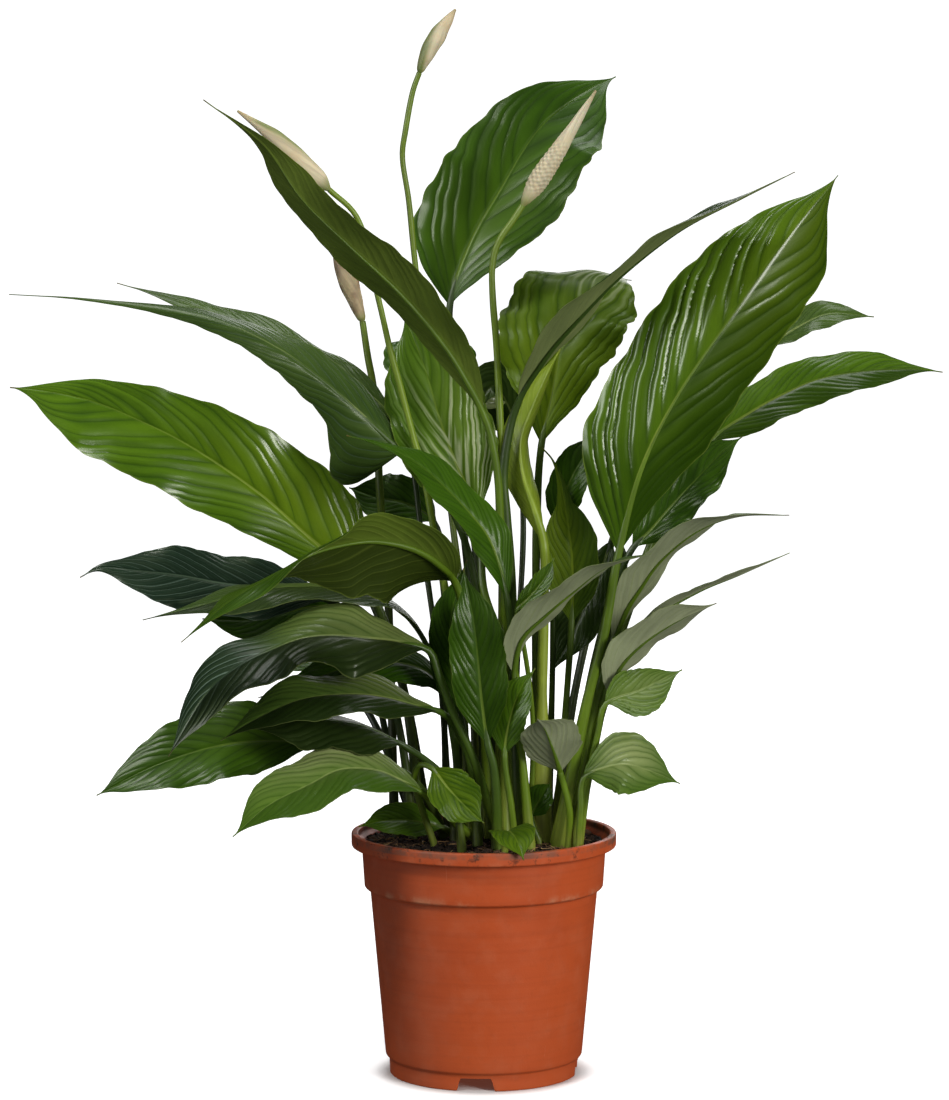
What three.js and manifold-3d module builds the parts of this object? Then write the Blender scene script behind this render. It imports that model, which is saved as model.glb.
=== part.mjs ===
// A peace lily in a terracotta-coloured plastic nursery pot.
// Millimetres, +Z up. The origin is on the pot's axis, at the height of its foot.
// +Y points away from the front of the plant and +X to its right.
import * as THREE from 'three';
import * as BufferGeometryUtils from 'three/addons/utils/BufferGeometryUtils.js';
import Module from 'manifold-3d';

// Pot
const potHeight = 156;
const potSides = 48;
const wallThickness = 2;
const lipRadius = 85;
const lipHeight = 8.5;
const mouthRadius = 80.5;
const bandTopRadius = 78.3;
const bandFootRadius = 76.7;
const bandFootHeight = 121;
const bodyTopRadius = 72.8;
const bodyFootRadius = 63.6;
const bodyFootHeight = 17;
const lipRound = 1.2;
const stepRound = 0.9;
const stepHeight = 3;
const mouthDepth = 5;
const draft = 0.4;
const footRadius = 61;
const footRingHeight = 10.5;
const footRingThickness = 3;
const notchCount = 4;
const notchWidth = 25;
const notchTaper = 1.5;
const notchTurn = -5;

// Soil and the holes that the stems stand in
const soilHeight = 149;
const soilMound = 1.5;
const soilGap = 0.3;
const soilEdge = 1;
const holeDepth = 13;
const holeHeadroom = 10;
const holeSides = 6;
const stemClearance = 0.35;
const stemFootHeight = 153;

// Leaf sections
const ribThickness = 1;
const marginThickness = 0.75;
const tipHalfWidth = 0.5;
const tipWiden = 1.4;
const footPower = 1.1;
const tipPower = 0.85;
const taperReach = 2.3;
const taperPower = 1.7;
const neckPart = 0.2;
const keelScale = 1.1;
const halfWaveShift = 0.37;
const usualEnds = [[0.38, 0.38], [0.38, 0.38]];
const evenHalves = [1, 1];

// How many rings a leaf of each grade gets, and how many points lie across its blade
const grades = {
  large: { across: 5, blade: 12, stalk: 4 },
  medium: { across: 5, blade: 8, stalk: 3 },
  plain: { across: 3, blade: 9, stalk: 3 },
  small: { across: 3, blade: 6, stalk: 3 },
};

// Colours
const terracotta = new THREE.Color('#b55a2f');
const peat = new THREE.Color('#2c2019');
const leafGreen = new THREE.Color('#3f6a1c');
const shadeGreen = new THREE.Color('#2c4a20');
const stalkGreen = new THREE.Color('#8a9a35');
const cream = new THREE.Color('#e4d3ac');

// Each leaf is a stalk, a midrib that starts where the stalk ends, and how the blade lies on it.
// faces: the way the upper side looks, from the blade's foot to its tip. lift: the angle by which
// the two halves rise from the midrib, and curl: what is added to it out to the margin, in degrees.
// wave: height, number and phase of the waves along the margin. drip: the length of the thin tip,
// as a part of the blade. ends: over what parts of the blade each half widens at the foot and closes
// at the tip, and halves: how wide each half is, as a part of its usual width. lobe: how much wider
// the first half is at one place, where that is, and over what part of the blade. thick: the stalk's
// radii from foot to blade. shade: a dark leaf.
const leaves = [
  {
    name: 'leaf_top_broad', grade: 'large', width: 86, drip: 0.05, thick: [3.6, 2.2],
    stalk: [[8, 32, 153], [2, 35, 260], [-10, 40, 380], [-19, 44, 455], [-22, 45, 491]],
    blade: [[-22, 45, 491], [-9.5, 56, 530], [8.5, 68, 562], [38.5, 86, 608], [73, 100, 633],
      [87, 106, 640]],
    faces: [[-0.1, -1, 0.25], [-0.2, -1, 0.4]], lift: [12, 12], curl: [-6, 8], wave: [2.5, 3, 0],
    ends: [[0.26, 0.56], [0.46, 0.28]], halves: [0.95, 1.14],
  },
  {
    name: 'leaf_right_broad', grade: 'large', width: 88, drip: 0.05, thick: [4.2, 2.6],
    stalk: [[47, -18, 153], [57.5, -26, 206], [66.7, -31, 251], [74.8, -36, 284], [80.2, -39, 315.5],
      [84, -42, 338]],
    blade: [[84, -42, 338], [97, -50, 391], [118, -52, 435], [159, -46, 495], [197, -32, 546],
      [222, -18, 575]],
    faces: [[-0.1, -1, 0.2], [-0.1, -1, 0.3]], lift: [-4, -32], curl: [-6, -10], wave: [2, 3.5, 0.4],
    ends: [[0.28, 0.4], [0.4, 0.2]], halves: [1, 0.92],
  },
  {
    name: 'leaf_right_arch', grade: 'large', width: 60, drip: 0.08, thick: [4.4, 4.2, 3.6, 2.4],
    stalk: [[20, 0, 153], [19, -2, 230], [17, -6, 311], [14, -9, 360], [12.5, -11, 390], [21, -15, 432]],
    blade: [[21, -15, 432], [38, -25, 462], [66, -38, 494], [85, -45, 513], [121, -58, 541],
      [157, -68, 560],
      [190, -75, 577]],
    faces: [[-0.6, 0.45, 0.65], [-0.6, 0.1, 0.8], [-0.5, 0, 0.9]], lift: [18, 18], curl: [-12, -12],
    wave: [2, 3, 0],
  },
  {
    name: 'leaf_back_broad', grade: 'large', width: 90, drip: 0.05, thick: [3.4, 2.4],
    stalk: [[33, 24, 153], [34, 25, 250], [34, 27, 350], [37, 30, 402]],
    blade: [[37, 30, 402], [44, 38, 434], [50, 45, 466], [62, 56, 493], [79, 72, 508], [97, 88, 507]],
    faces: [[-0.05, -1, 0.35], [-0.1, -0.9, 0.6], [-0.3, -0.4, 0.9]], lift: [10, 10], curl: [-12, -12],
    wave: [4, 4, 0.5], ends: [[0.6, 0.3], [0.7, 0.3]], halves: [1, 0.85],
  },
  {
    name: 'leaf_left_dark_diagonal', grade: 'large', width: 50, drip: 0.14, thick: [3.2, 2.4], shade: true,
    stalk: [[14, -25, 153], [13.5, -18, 240], [12.5, -16, 330], [10.3, -19, 357], [9, -23, 382],
      [6, -26, 404], [0.5, -28, 424]],
    blade: [[0.5, -28, 424], [-19, -38, 462], [-50, -52, 500.5], [-83.5, -68, 532.5], [-111, -82, 560],
      [-134, -95, 593], [-169, -112, 620]],
    faces: [[0.35, 0.5, 0.75], [0.35, 0.45, 0.8]], lift: [14, 14], curl: [-8, -8], wave: [2, 3, 0],
  },
  {
    name: 'leaf_left_long', grade: 'large', width: 50, drip: 0.3, thick: [3, 2],
    stalk: [[0, 6, 153], [-1, 8, 240], [-4, 8, 305], [-15, 6, 350], [-35, 2, 385], [-52, -0.5, 400]],
    blade: [[-52, -0.5, 400], [-79, -5, 426], [-104, -9, 448], [-129, -14, 466], [-160, -20, 481.5],
      [-191, -25, 490], [-250, -30, 498], [-297, -32, 501]],
    faces: [[0.4, -0.95, 0.3], [0.25, -0.5, 0.8], [0.2, -0.35, 0.9]], lift: [-20, -8], curl: [-20, -5],
    wave: [2, 3, 0], ends: [[0.1, 0.8], [0.25, 0.6]], halves: [0.62, 0.8],
    lobe: [30, 0.05, 0.09],
  },
  {
    name: 'leaf_left_long_behind', grade: 'plain', width: 32, drip: 0.12, thick: [2.8, 2],
    stalk: [[-14, 26, 153], [-20, 26, 250], [-30, 27, 340], [-42, 29, 390], [-51.5, 31, 411]],
    blade: [[-51.5, 31, 411], [-65, 33, 427], [-91, 36, 448], [-120, 39, 464], [-144, 42, 475.5],
      [-183, 45, 490],
      [-216, 48, 500], [-237, 50, 506]],
    faces: [[0.1, -0.4, 0.9], [0.1, -0.4, 0.9]], lift: [6, 10], curl: [-8, -8], wave: [2, 3, 0.3],
  },
  {
    name: 'leaf_left_broad', grade: 'large', width: 74, drip: 0.04, thick: [3.4, 2.4],
    stalk: [[-42, 14, 153], [-46, 16, 210], [-55, 19, 260], [-72, 20, 307]],
    blade: [[-72, 20, 307], [-88, 19, 323], [-113.5, 18, 345], [-143, 16, 371.5], [-190, 12, 404],
      [-219, 9, 419], [-250, 6, 432], [-282, 2, 439], [-301, 0, 441]],
    faces: [[-0.1, -1, 0.35], [-0.05, -1, 0.4]], lift: [12, 12], curl: [-8, -8], wave: [2.2, 4, 0],
    ends: [[0.62, 0.2], [0.22, 0.78]], halves: [0.94, 1.06],
  },
  {
    name: 'leaf_left_front_arch', grade: 'large', width: 62, drip: 0.06, thick: [3.2, 2.6], shade: true,
    stalk: [[4, -8, 153], [0, -16, 230], [-6, -22, 270], [-12, -26, 298], [-18, -30, 320]],
    blade: [[-18, -30, 320], [-27.5, -44, 333], [-40, -54, 342], [-55.5, -63, 347.5], [-71, -72, 350],
      [-88.5, -83, 348.5], [-106.5, -97, 344], [-130, -114, 332], [-153, -132, 319], [-182, -150, 296]],
    faces: [[0.45, 0.6, 0.6], [0.1, 0.9, 0.4], [0, 0.45, 0.85], [-0.25, -0.5, 0.8], [-0.3, -0.7, 0.65]],
    lift: [12, -16], curl: [-8, -8], wave: [4, 3.5, 0], ends: [[0.2, 0.5], [0.12, 0.9]],
    halves: [0.66, 1.3],
  },
  {
    name: 'leaf_left_low_arch', grade: 'medium', width: 46, drip: 0.12, thick: [3, 2.2],
    stalk: [[-18, -10, 153], [-17, -16, 200], [-23, -20, 240], [-34, -22, 275]],
    blade: [[-34, -22, 275], [-43.5, -23, 293.5], [-59, -24, 308], [-78, -26, 314.5], [-97, -29, 317],
      [-140, -38, 316], [-177, -48, 307], [-213, -57, 299]],
    faces: [[0.75, 0.35, 0.55], [0.1, 0.05, 1], [-0.1, -0.3, 0.95]], lift: [-10, 8], curl: [-12, -6],
    wave: [2, 2.5, 0],
  },
  {
    name: 'leaf_left_under', grade: 'plain', width: 32, drip: 0.06, thick: [2.4, 2],
    stalk: [[-56, 12, 153], [-62, 14, 210], [-76, 14, 268], [-92, 12, 298]],
    blade: [[-92, 12, 298], [-108, 10, 300], [-128, 8, 296], [-150, 5, 292], [-180, 2, 293]],
    faces: [[0, -0.85, 0.5], [0, -0.85, 0.5]], lift: [8, 8], curl: [-4, -4], wave: [1.5, 2, 0],
  },
  {
    name: 'leaf_left_twisted', grade: 'large', width: 58, drip: 0.06, thick: [3, 2.4], shade: true,
    stalk: [[10, -16, 153], [2, -27, 180], [-8, -38, 212], [-20, -44, 240], [-28, -45, 262],
      [-34, -44, 278]],
    blade: [[-34, -44, 278], [-52.5, -50, 284.5], [-71, -56, 287.5], [-96, -62, 290], [-114, -68, 288.5],
      [-132.5, -75, 282], [-150.5, -86, 274], [-168, -98, 260.5], [-193, -115, 221.5]],
    faces: [[0.3, -0.5, 0.8], [0, -0.75, 0.65], [-0.1, -0.35, 0.9], [-0.75, -0.7, 0.3], [-0.8, -0.7, 0.2]],
    lift: [8, 10], curl: [-10, -8], wave: [3, 3, 0], ends: [[0.3, 0.3], [0.3, 0.3]], halves: [1, 0.8],
  },
  {
    name: 'leaf_left_lower', grade: 'medium', width: 44, drip: 0.08, thick: [2.8, 2.2],
    stalk: [[-4, -25, 153], [-6, -24, 190], [-12, -26, 214], [-20, -34, 231], [-28, -44, 240]],
    blade: [[-28, -44, 240], [-43, -54, 245], [-62, -61, 251], [-83, -69, 254], [-113.5, -80, 252],
      [-141, -90, 241], [-162, -98, 229]],
    faces: [[0.3, -0.4, 0.85], [0, -0.45, 0.9], [-0.3, -0.6, 0.7]], lift: [6, 12], curl: [-8, -10],
    wave: [2, 3, 0],
  },
  {
    name: 'leaf_left_lower_dark', grade: 'plain', width: 40, drip: 0.08, thick: [2.8, 2.2], shade: true,
    stalk: [[-14, 4, 153], [-16, 1, 190], [-20, -3, 220], [-25, -7, 243]],
    blade: [[-25, -7, 243], [-34, -12, 259], [-53, -18, 267], [-84, -26, 266], [-115, -34, 256],
      [-142, -42, 248]],
    faces: [[0.4, -0.5, 0.8], [0, -0.5, 0.85], [-0.2, -0.6, 0.8]], lift: [4, 8], curl: [-10, -10],
    wave: [2, 2.5, 0.4], halves: [1, 0.85],
  },
  {
    name: 'leaf_low_left_broad', grade: 'medium', width: 56, drip: 0.04, thick: [2.8, 2.2],
    stalk: [[-26, 8, 153], [-35, 1, 175], [-49, -11, 194], [-67, -21, 203], [-85, -29, 212.5],
      [-103.5, -35, 219.5]],
    blade: [[-103.5, -35, 219.5], [-116, -38, 220], [-160, -44, 219], [-204, -50, 207], [-243, -55, 188]],
    faces: [[-0.1, -0.8, 0.55], [-0.1, -0.85, 0.5]], lift: [10, 10], curl: [-6, -6], wave: [1.5, 3, 0],
    ends: [[0.38, 0.5], [0.38, 0.62]], halves: [0.86, 1],
  },
  {
    name: 'leaf_low_left_arch', grade: 'plain', width: 42, drip: 0.06, thick: [2.6, 2.2],
    stalk: [[-14, -40, 153], [-17, -41, 176], [-25, -40, 197], [-49.5, -36, 216.5]],
    blade: [[-49.5, -36, 216.5], [-62, -42, 225], [-77.5, -50, 232], [-99, -58, 236.5], [-123, -66, 238],
      [-147.5, -74, 232.5]],
    faces: [[0.4, 0.3, 0.85], [0.1, 0, 1], [0, -0.3, 0.95]], lift: [-38, 10], curl: [-8, -8],
    wave: [1.5, 2.5, 0], halves: [1.1, 0.8],
  },
  {
    name: 'leaf_low_left_front', grade: 'medium', width: 42, drip: 0.05, thick: [2.8, 2.4],
    stalk: [[-4, -15, 153], [-16, -27, 164], [-27, -38, 177], [-37, -46, 187.5]],
    blade: [[-37, -46, 187.5], [-53, -56, 198.5], [-68, -67, 206], [-89.5, -82, 208.5],
      [-107.5, -96, 201.5],
      [-131.5, -114, 191.5], [-152.5, -135, 175.5]],
    faces: [[0.1, -0.55, 0.8], [-0.1, -0.65, 0.75], [-0.3, -0.8, 0.5]], lift: [8, 12], curl: [-8, -8],
    wave: [1.5, 2.5, 0], ends: [[0.38, 0.38], [0.3, 0.38]],
  },
  {
    name: 'leaf_small_turned_down', grade: 'small', width: 30, drip: 0.09, thick: [2, 1.8],
    stalk: [[-32, -26, 153], [-40, -31, 178], [-44, -36, 197], [-40, -43, 205.5], [-33, -47, 204]],
    blade: [[-33, -47, 204], [-22, -49, 191], [-10.5, -50, 179], [0, -50, 169.5]],
    faces: [[0.2, -0.95, 0.25], [0.2, -0.95, 0.25]], lift: [8, 8], curl: [0, 0], wave: [1, 2, 0],
  },
  {
    name: 'leaf_small_left_rim', grade: 'small', width: 24, drip: 0.09, thick: [1.8, 1.6],
    stalk: [[-20, 2, 153], [-22, -2, 156.5], [-26, -6, 159.5]],
    blade: [[-26, -6, 159.5], [-36, -9, 162.5], [-50, -11, 165], [-66, -12, 164.5], [-80, -12, 161]],
    faces: [[-0.1, -0.75, 0.65], [-0.1, -0.75, 0.65]], lift: [8, 8], curl: [0, 0], wave: [0.6, 2, 0],
  },
  {
    name: 'leaf_small_over_rim', grade: 'small', width: 27, drip: 0.09, thick: [1.8, 1.6],
    stalk: [[13, -46, 153], [13.5, -48, 159], [14, -52, 164]],
    blade: [[14, -52, 164], [16, -66, 167], [20, -79, 164], [24.5, -89, 153]],
    faces: [[-0.1, -0.3, 0.95], [0, -0.6, 0.8]], lift: [12, 12], curl: [0, 0], wave: [0.6, 2, 0],
  },
  {
    name: 'leaf_small_shaded', grade: 'small', width: 18, drip: 0.04, thick: [1.8, 1.6],
    stalk: [[35, -19, 153], [32, -19, 160], [30, -19, 168]],
    blade: [[30, -19, 168], [33, -19, 175], [37.5, -19, 183], [42, -19, 190]],
    faces: [[-0.3, -0.9, 0.3], [-0.3, -0.9, 0.3]], lift: [8, 8], curl: [0, 0], wave: [0.5, 2, 0],
  },
  {
    name: 'leaf_small_folded', grade: 'small', width: 38, drip: 0.09, thick: [2.2, 1.8],
    stalk: [[54, -32, 153], [54, -38, 175], [48, -44, 201]],
    blade: [[48, -44, 201], [42.5, -56, 219], [37.5, -65, 232], [33, -74, 239]],
    faces: [[-0.1, 0.75, 0.65], [-0.1, 0.5, 0.85]], lift: [16, 16], curl: [0, 0], wave: [1, 2, 0],
  },
  {
    name: 'leaf_centre_upright', grade: 'medium', width: 35, drip: 0.08, thick: [3, 2.4],
    stalk: [[8, -35, 153], [8, -42, 180], [6, -47, 205], [2.5, -49, 219]],
    blade: [[2.5, -49, 219], [-1.5, -51, 247.5], [-3.8, -51, 272.5], [-6.4, -51, 297.5], [-10, -49, 316],
      [-13, -47, 330]],
    faces: [[0, -1, 0.1], [0.1, -1, 0.1]], lift: [16, 16], curl: [-6, -6], wave: [1.5, 3, 0],
  },
  {
    name: 'leaf_centre_dark', grade: 'plain', width: 26, drip: 0.1, thick: [2.6, 2], shade: true,
    stalk: [[-3, -2, 153], [-7, -8, 190], [-14, -12, 231]],
    blade: [[-14, -12, 231], [-18.5, -13, 247.5], [-21.5, -14, 273], [-20.5, -15, 299], [-15, -16, 318],
      [-10.8, -17, 332.5]],
    faces: [[-0.2, -1, 0.1], [-0.2, -1, 0.1]], lift: [10, 10], curl: [0, 0], wave: [1, 2.5, 0],
  },
  {
    name: 'leaf_centre_short', grade: 'small', width: 24, drip: 0.09, thick: [2, 1.8],
    stalk: [[20, -37, 153], [17, -42, 180], [13, -45, 212]],
    blade: [[13, -45, 212], [16, -46, 234], [22.5, -46, 253], [32, -45, 267]],
    faces: [[-0.3, -0.9, 0.35], [-0.3, -0.9, 0.35]], lift: [10, 10], curl: [0, 0], wave: [1, 2, 0],
  },
  {
    name: 'leaf_centre_arch', grade: 'medium', width: 42, drip: 0.08, thick: [3, 2.2],
    stalk: [[29, -33, 153], [25, -37, 200], [18.5, -40, 262]],
    blade: [[18.5, -40, 262], [22.5, -45, 285], [38, -51, 301.5], [56.5, -60, 318], [72, -69, 331],
      [87, -76, 338], [103, -82, 343]],
    faces: [[-0.7, 0.55, 0.4], [-0.4, 0.35, 0.8], [-0.2, -0.1, 1]], lift: [16, 16], curl: [-6, -6],
    wave: [1.5, 2.5, 0],
  },
  {
    name: 'leaf_centre_narrow', grade: 'small', width: 13, drip: 0.06, thick: [1.7, 1.5],
    stalk: [[29, -10, 153], [31, -16, 230], [24, -28, 285], [20, -31, 301]],
    blade: [[20, -31, 301], [29, -32, 311], [38.5, -31, 323], [44, -30, 335]],
    faces: [[-0.3, -0.9, 0.35], [-0.3, -0.9, 0.35]], lift: [12, 12], curl: [0, 0], wave: [0.5, 2, 0],
  },
  {
    name: 'leaf_unrolling', grade: 'medium', width: 30, drip: 0.06, thick: [6.8, 6.4, 3.4, 3.2, 3],
    stalk: [[36, -4, 153], [36.5, -6, 200], [37, -10, 250], [38, -12, 300], [38, -14, 341]],
    blade: [[38, -14, 341], [32, -12, 363], [24.5, -8, 386], [23, -4, 408], [29.5, 0, 426], [39, 4, 447],
      [48.5, 8, 465]],
    faces: [[-0.2, 0.95, 0.1], [-0.2, 0.95, 0.1]], lift: [35, 35], curl: [20, 20], wave: [0.8, 2, 0],
  },
  {
    name: 'leaf_centre_glossy', grade: 'large', width: 62, drip: 0.06, thick: [3, 2.4],
    stalk: [[20, -12, 153], [23, -18, 220], [19, -24, 262], [8.5, -25, 289], [0, -18, 313], [-2, -8, 340],
      [-3.8, -2, 359]],
    blade: [[-3.8, -2, 359], [-18.5, 2, 394.5], [-28, 6, 420], [-37.6, 12, 452], [-51.5, 22, 487]],
    faces: [[0.05, -1, 0.2], [0.05, -1, 0.3]], lift: [12, 12], curl: [-8, -8], wave: [2, 3, 0],
  },
  {
    name: 'leaf_centre_left_strap', grade: 'medium', width: 32, drip: 0.16, thick: [3, 2.2],
    stalk: [[22, -26, 153], [20, -30, 220], [18, -33, 270], [15, -34, 308]],
    blade: [[15, -34, 308], [10, -35, 330], [2.5, -36, 349], [-9, -38, 364], [-23, -40, 379],
      [-37, -43, 392],
      [-52.5, -46, 402.5], [-68, -50, 409], [-85.5, -54, 414]],
    faces: [[0.35, -0.7, 0.6], [0.1, -0.5, 0.85]], lift: [12, 12], curl: [-6, -6], wave: [1.5, 3, 0],
  },
  {
    name: 'leaf_behind_right_small', grade: 'small', width: 26, drip: 0.05, thick: [2.2, 1.8],
    stalk: [[42, 16, 153], [44, 14, 250], [47, 10, 350]],
    blade: [[47, 10, 350], [54, 10, 378], [64.5, 10, 397], [78, 10, 409]],
    faces: [[-0.2, -0.9, 0.4], [-0.2, -0.9, 0.4]], lift: [10, 10], curl: [0, 0], wave: [1.5, 2, 0],
  },
  {
    name: 'leaf_olive_upright', grade: 'small', width: 34, drip: 0.3, thick: [2.4, 2],
    stalk: [[46, 2, 153], [52, 2, 230], [56, 2, 290]],
    blade: [[56, 2, 290], [56.5, 0, 324], [55, 0, 343], [52, 0, 363], [48.5, 0, 382], [43.5, 0, 395],
      [36.5, 0, 403]],
    faces: [[0, -1, 0.1], [0, -1, 0.1]], lift: [10, 10], curl: [0, 0], wave: [0.8, 2, 0],
  },
  {
    name: 'leaf_striped_hanging', grade: 'plain', width: 32, drip: 0.1, thick: [2.4, 2], shade: true,
    stalk: [[56, 22, 153], [74, 35, 240], [88, 41, 305], [91, 40, 330], [84, 36, 340]],
    blade: [[84, 36, 340], [76, 32, 322], [67, 29, 303], [57, 26, 280], [42.5, 22, 254]],
    faces: [[-0.3, -0.9, 0.3], [-0.3, -0.9, 0.2]], lift: [10, 10], curl: [-6, -6], wave: [1.5, 3, 0],
  },
  {
    name: 'leaf_right_far', grade: 'plain', width: 24, drip: 0.12, thick: [2.6, 2],
    stalk: [[56, 34, 153], [84, 48, 260], [122, 64, 360], [158, 76, 430], [187, 80, 463]],
    blade: [[187, 80, 463], [207, 81, 477], [226, 82, 485], [256, 83, 483]],
    faces: [[-0.2, -0.6, 0.8], [-0.1, -0.7, 0.7]], lift: [10, 10], curl: [-6, -6], wave: [1.5, 2.5, 0],
  },
  {
    name: 'leaf_right_long', grade: 'large', width: 35, drip: 0.08, thick: [3, 2.2],
    stalk: [[60, 10, 153], [80, 14, 250], [108, 28, 340], [143.5, 45, 401]],
    blade: [[143.5, 45, 401], [172.5, 50, 422], [199, 54, 436], [218, 57, 443.5], [251, 62, 448.5],
      [287.5, 66, 449], [299.5, 68, 447.5]],
    faces: [[-0.1, -0.8, 0.65], [0, -0.8, 0.6]], lift: [10, 10], curl: [-8, -8], wave: [2, 3, 0],
    ends: [[0.3, 0.38], [0.3, 0.45]],
  },
  {
    name: 'leaf_right_wavy', grade: 'medium', width: 44, drip: 0.06, thick: [2.8, 2.2],
    stalk: [[52, 6, 153], [64, 7, 230], [80, 9, 300], [95, 12, 337]],
    blade: [[95, 12, 337], [106.5, 14, 348.5], [120.5, 17, 364.5], [138.5, 20, 383.5], [153, 23, 398],
      [166, 26, 408]],
    faces: [[-0.2, -0.9, 0.4], [-0.2, -0.9, 0.4]], lift: [10, 10], curl: [-8, -8], wave: [4, 3.5, 0],
    halves: [1, 0.7],
  },
  {
    name: 'leaf_right_arch_under', grade: 'medium', width: 44, drip: 0.1, thick: [3, 2.2],
    stalk: [[53, -8, 153], [62, -8, 200], [72, -9, 245], [81.5, -11, 278]],
    blade: [[81.5, -11, 278], [89, -15, 299.5], [98.5, -21, 315.5], [110.5, -28, 333], [135, -40, 354],
      [159, -48, 363], [190, -55, 364.5]],
    faces: [[-0.6, 0.5, 0.6], [-0.4, 0.35, 0.85],
      [-0.1, 0, 1]], lift: [14, 14], curl: [-6, -6], wave: [1.5, 3, 0],
  },
  {
    name: 'leaf_right_edge_on', grade: 'plain', width: 28, drip: 0.1, thick: [2.6, 2],
    stalk: [[60, 0, 153], [67, -2, 200], [76, -5, 245], [84.5, -6, 273.5]],
    blade: [[84.5, -6, 273.5], [105.5, -4, 293.5], [137.5, -2, 311.5], [163, 0, 321.5], [195, 2, 335.5]],
    faces: [[-0.5, 0.2, 0.8], [-0.4, 0.1, 0.9]], lift: [14, 14], curl: [-4, -4], wave: [1, 2.5, 0],
  },
  {
    name: 'leaf_right_low_under', grade: 'plain', width: 42, drip: 0.06, thick: [2.6, 2],
    stalk: [[57, -15, 153], [64, -18, 190], [71, -21, 220], [78.5, -25, 247.5]],
    blade: [[78.5, -25, 247.5], [86, -29, 266.5], [101, -32, 282], [123, -35, 296.5], [146, -38, 307.5]],
    faces: [[-0.6, 0.6, 0.5], [-0.45, 0.5, 0.75]], lift: [14, 14], curl: [-4, -4], wave: [1.2, 2.5, 0],
  },
  {
    name: 'leaf_right_small_upper', grade: 'small', width: 30, drip: 0.1, thick: [2, 1.8],
    stalk: [[61, -26, 153], [67, -31, 200], [72, -34, 225], [76.5, -36, 243]],
    blade: [[76.5, -36, 243], [98, -40, 252.5], [110.5, -42, 259], [124.5, -44, 266]],
    faces: [[-0.1, -0.9, 0.4], [-0.1, -0.9, 0.4]], lift: [8, 8], curl: [0, 0], wave: [1, 2, 0],
    ends: [[0.34, 0.66], [0.5, 0.5]], halves: [1, 1.2],
  },
  {
    name: 'leaf_right_small_lower', grade: 'small', width: 49, drip: 0.1, thick: [2, 1.8],
    stalk: [[60, -38, 153], [61, -40, 175], [63, -41, 197]],
    blade: [[63, -41, 197], [76, -46, 204.5], [88.5, -50, 207], [104, -55, 203.5], [122.5, -61, 196.5]],
    faces: [[0, -0.8, 0.6], [0, -0.8, 0.6]], lift: [8, 8], curl: [0, 0], wave: [1, 2, 0],
    ends: [[0.54, 0.72], [0.58, 0.5]],
  },
  {
    name: 'leaf_left_bluish', grade: 'medium', width: 46, drip: 0.1, thick: [2.8, 2.2], shade: true,
    stalk: [[-46, 2, 153], [-52, 3, 210], [-64, 4, 260], [-80, 3, 290], [-98, -2, 305]],
    blade: [[-98, -2, 305], [-117, -4, 310.5], [-164.5, -8, 316.5], [-193, -10, 322], [-218.5, -11, 325],
      [-244, -12, 327], [-256.5, -12, 321]],
    faces: [[-0.1, -0.8, 0.5], [-0.1, -0.85, 0.5]], lift: [8, 8], curl: [-6, -6], wave: [2.5, 3, 0],
    halves: [1, 0.85],
  },
  {
    name: 'leaf_shade_upright', grade: 'small', width: 24, drip: 0.05, thick: [2.2, 1.8], shade: true,
    stalk: [[-22, 19, 153], [-28, 30, 250], [-40, 40, 340], [-46, 44, 388]],
    blade: [[-46, 44, 388], [-50.5, 45, 407], [-55, 45, 427], [-53.5, 45, 446]],
    faces: [[0, -1, 0.2], [0, -1, 0.2]], lift: [8, 8], curl: [0, 0], wave: [1, 2, 0],
  },
  {
    name: 'leaf_shade_striped', grade: 'small', width: 34, drip: 0.05, thick: [2.2, 1.8], shade: true,
    stalk: [[20, 44, 153], [22, 60, 260], [26, 76, 350], [22, 82, 398]],
    blade: [[22, 82, 398], [16, 82, 425], [6, 80, 438], [-6, 76, 420]],
    faces: [[0, -1, 0.2], [0, -1, 0.4]], lift: [8, 8], curl: [0, 0], wave: [1, 2, 0],
  },
  {
    name: 'leaf_shade_level', grade: 'small', width: 34, drip: 0.05, thick: [2.2, 1.8], shade: true,
    stalk: [[-24, 32, 153], [-26, 46, 240], [-26, 54, 320], [-32, 56, 350]],
    blade: [[-32, 56, 350], [-50, 60, 362], [-70, 64, 366], [-88, 66, 372]],
    faces: [[0, -0.9, 0.4], [0, -0.9, 0.4]], lift: [8, 8], curl: [0, 0], wave: [1, 2, 0],
  },
  {
    name: 'leaf_back_left', grade: 'plain', width: 60, drip: 0.05, thick: [3, 2.2],
    stalk: [[-36, 34, 153], [-52, 50, 240], [-80, 72, 310], [-112, 92, 352]],
    blade: [[-112, 92, 352], [-142, 110, 374], [-172, 128, 388], [-205, 148, 392]],
    faces: [[0.3, -0.5, 0.8], [0, 0, 1]], lift: [10, 10], curl: [-8, -8], wave: [2, 3, 0],
  },
  {
    name: 'leaf_back_high', grade: 'plain', width: 62, drip: 0.05, thick: [3, 2.2],
    stalk: [[-2, 46, 153], [-6, 58, 260], [-14, 74, 350], [-24, 90, 410]],
    blade: [[-24, 90, 410], [-32, 108, 442], [-40, 128, 462], [-46, 150, 468]],
    faces: [[0.1, -0.7, 0.7], [0, -0.2, 1]], lift: [10, 10], curl: [-8, -8], wave: [2, 3, 0],
  },
  {
    name: 'leaf_back_right', grade: 'plain', width: 60, drip: 0.05, thick: [3, 2.2],
    stalk: [[46, 42, 153], [62, 58, 250], [86, 80, 340], [112, 96, 400]],
    blade: [[112, 96, 400], [134, 112, 436], [152, 129, 460], [172, 150, 472]],
    faces: [[-0.3, -0.6, 0.7], [-0.1, -0.2, 1]], lift: [10, 10], curl: [-8, -8], wave: [2, 3, 0],
  },
  {
    name: 'leaf_back_low', grade: 'plain', width: 54, drip: 0.05, thick: [2.8, 2.2],
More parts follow.
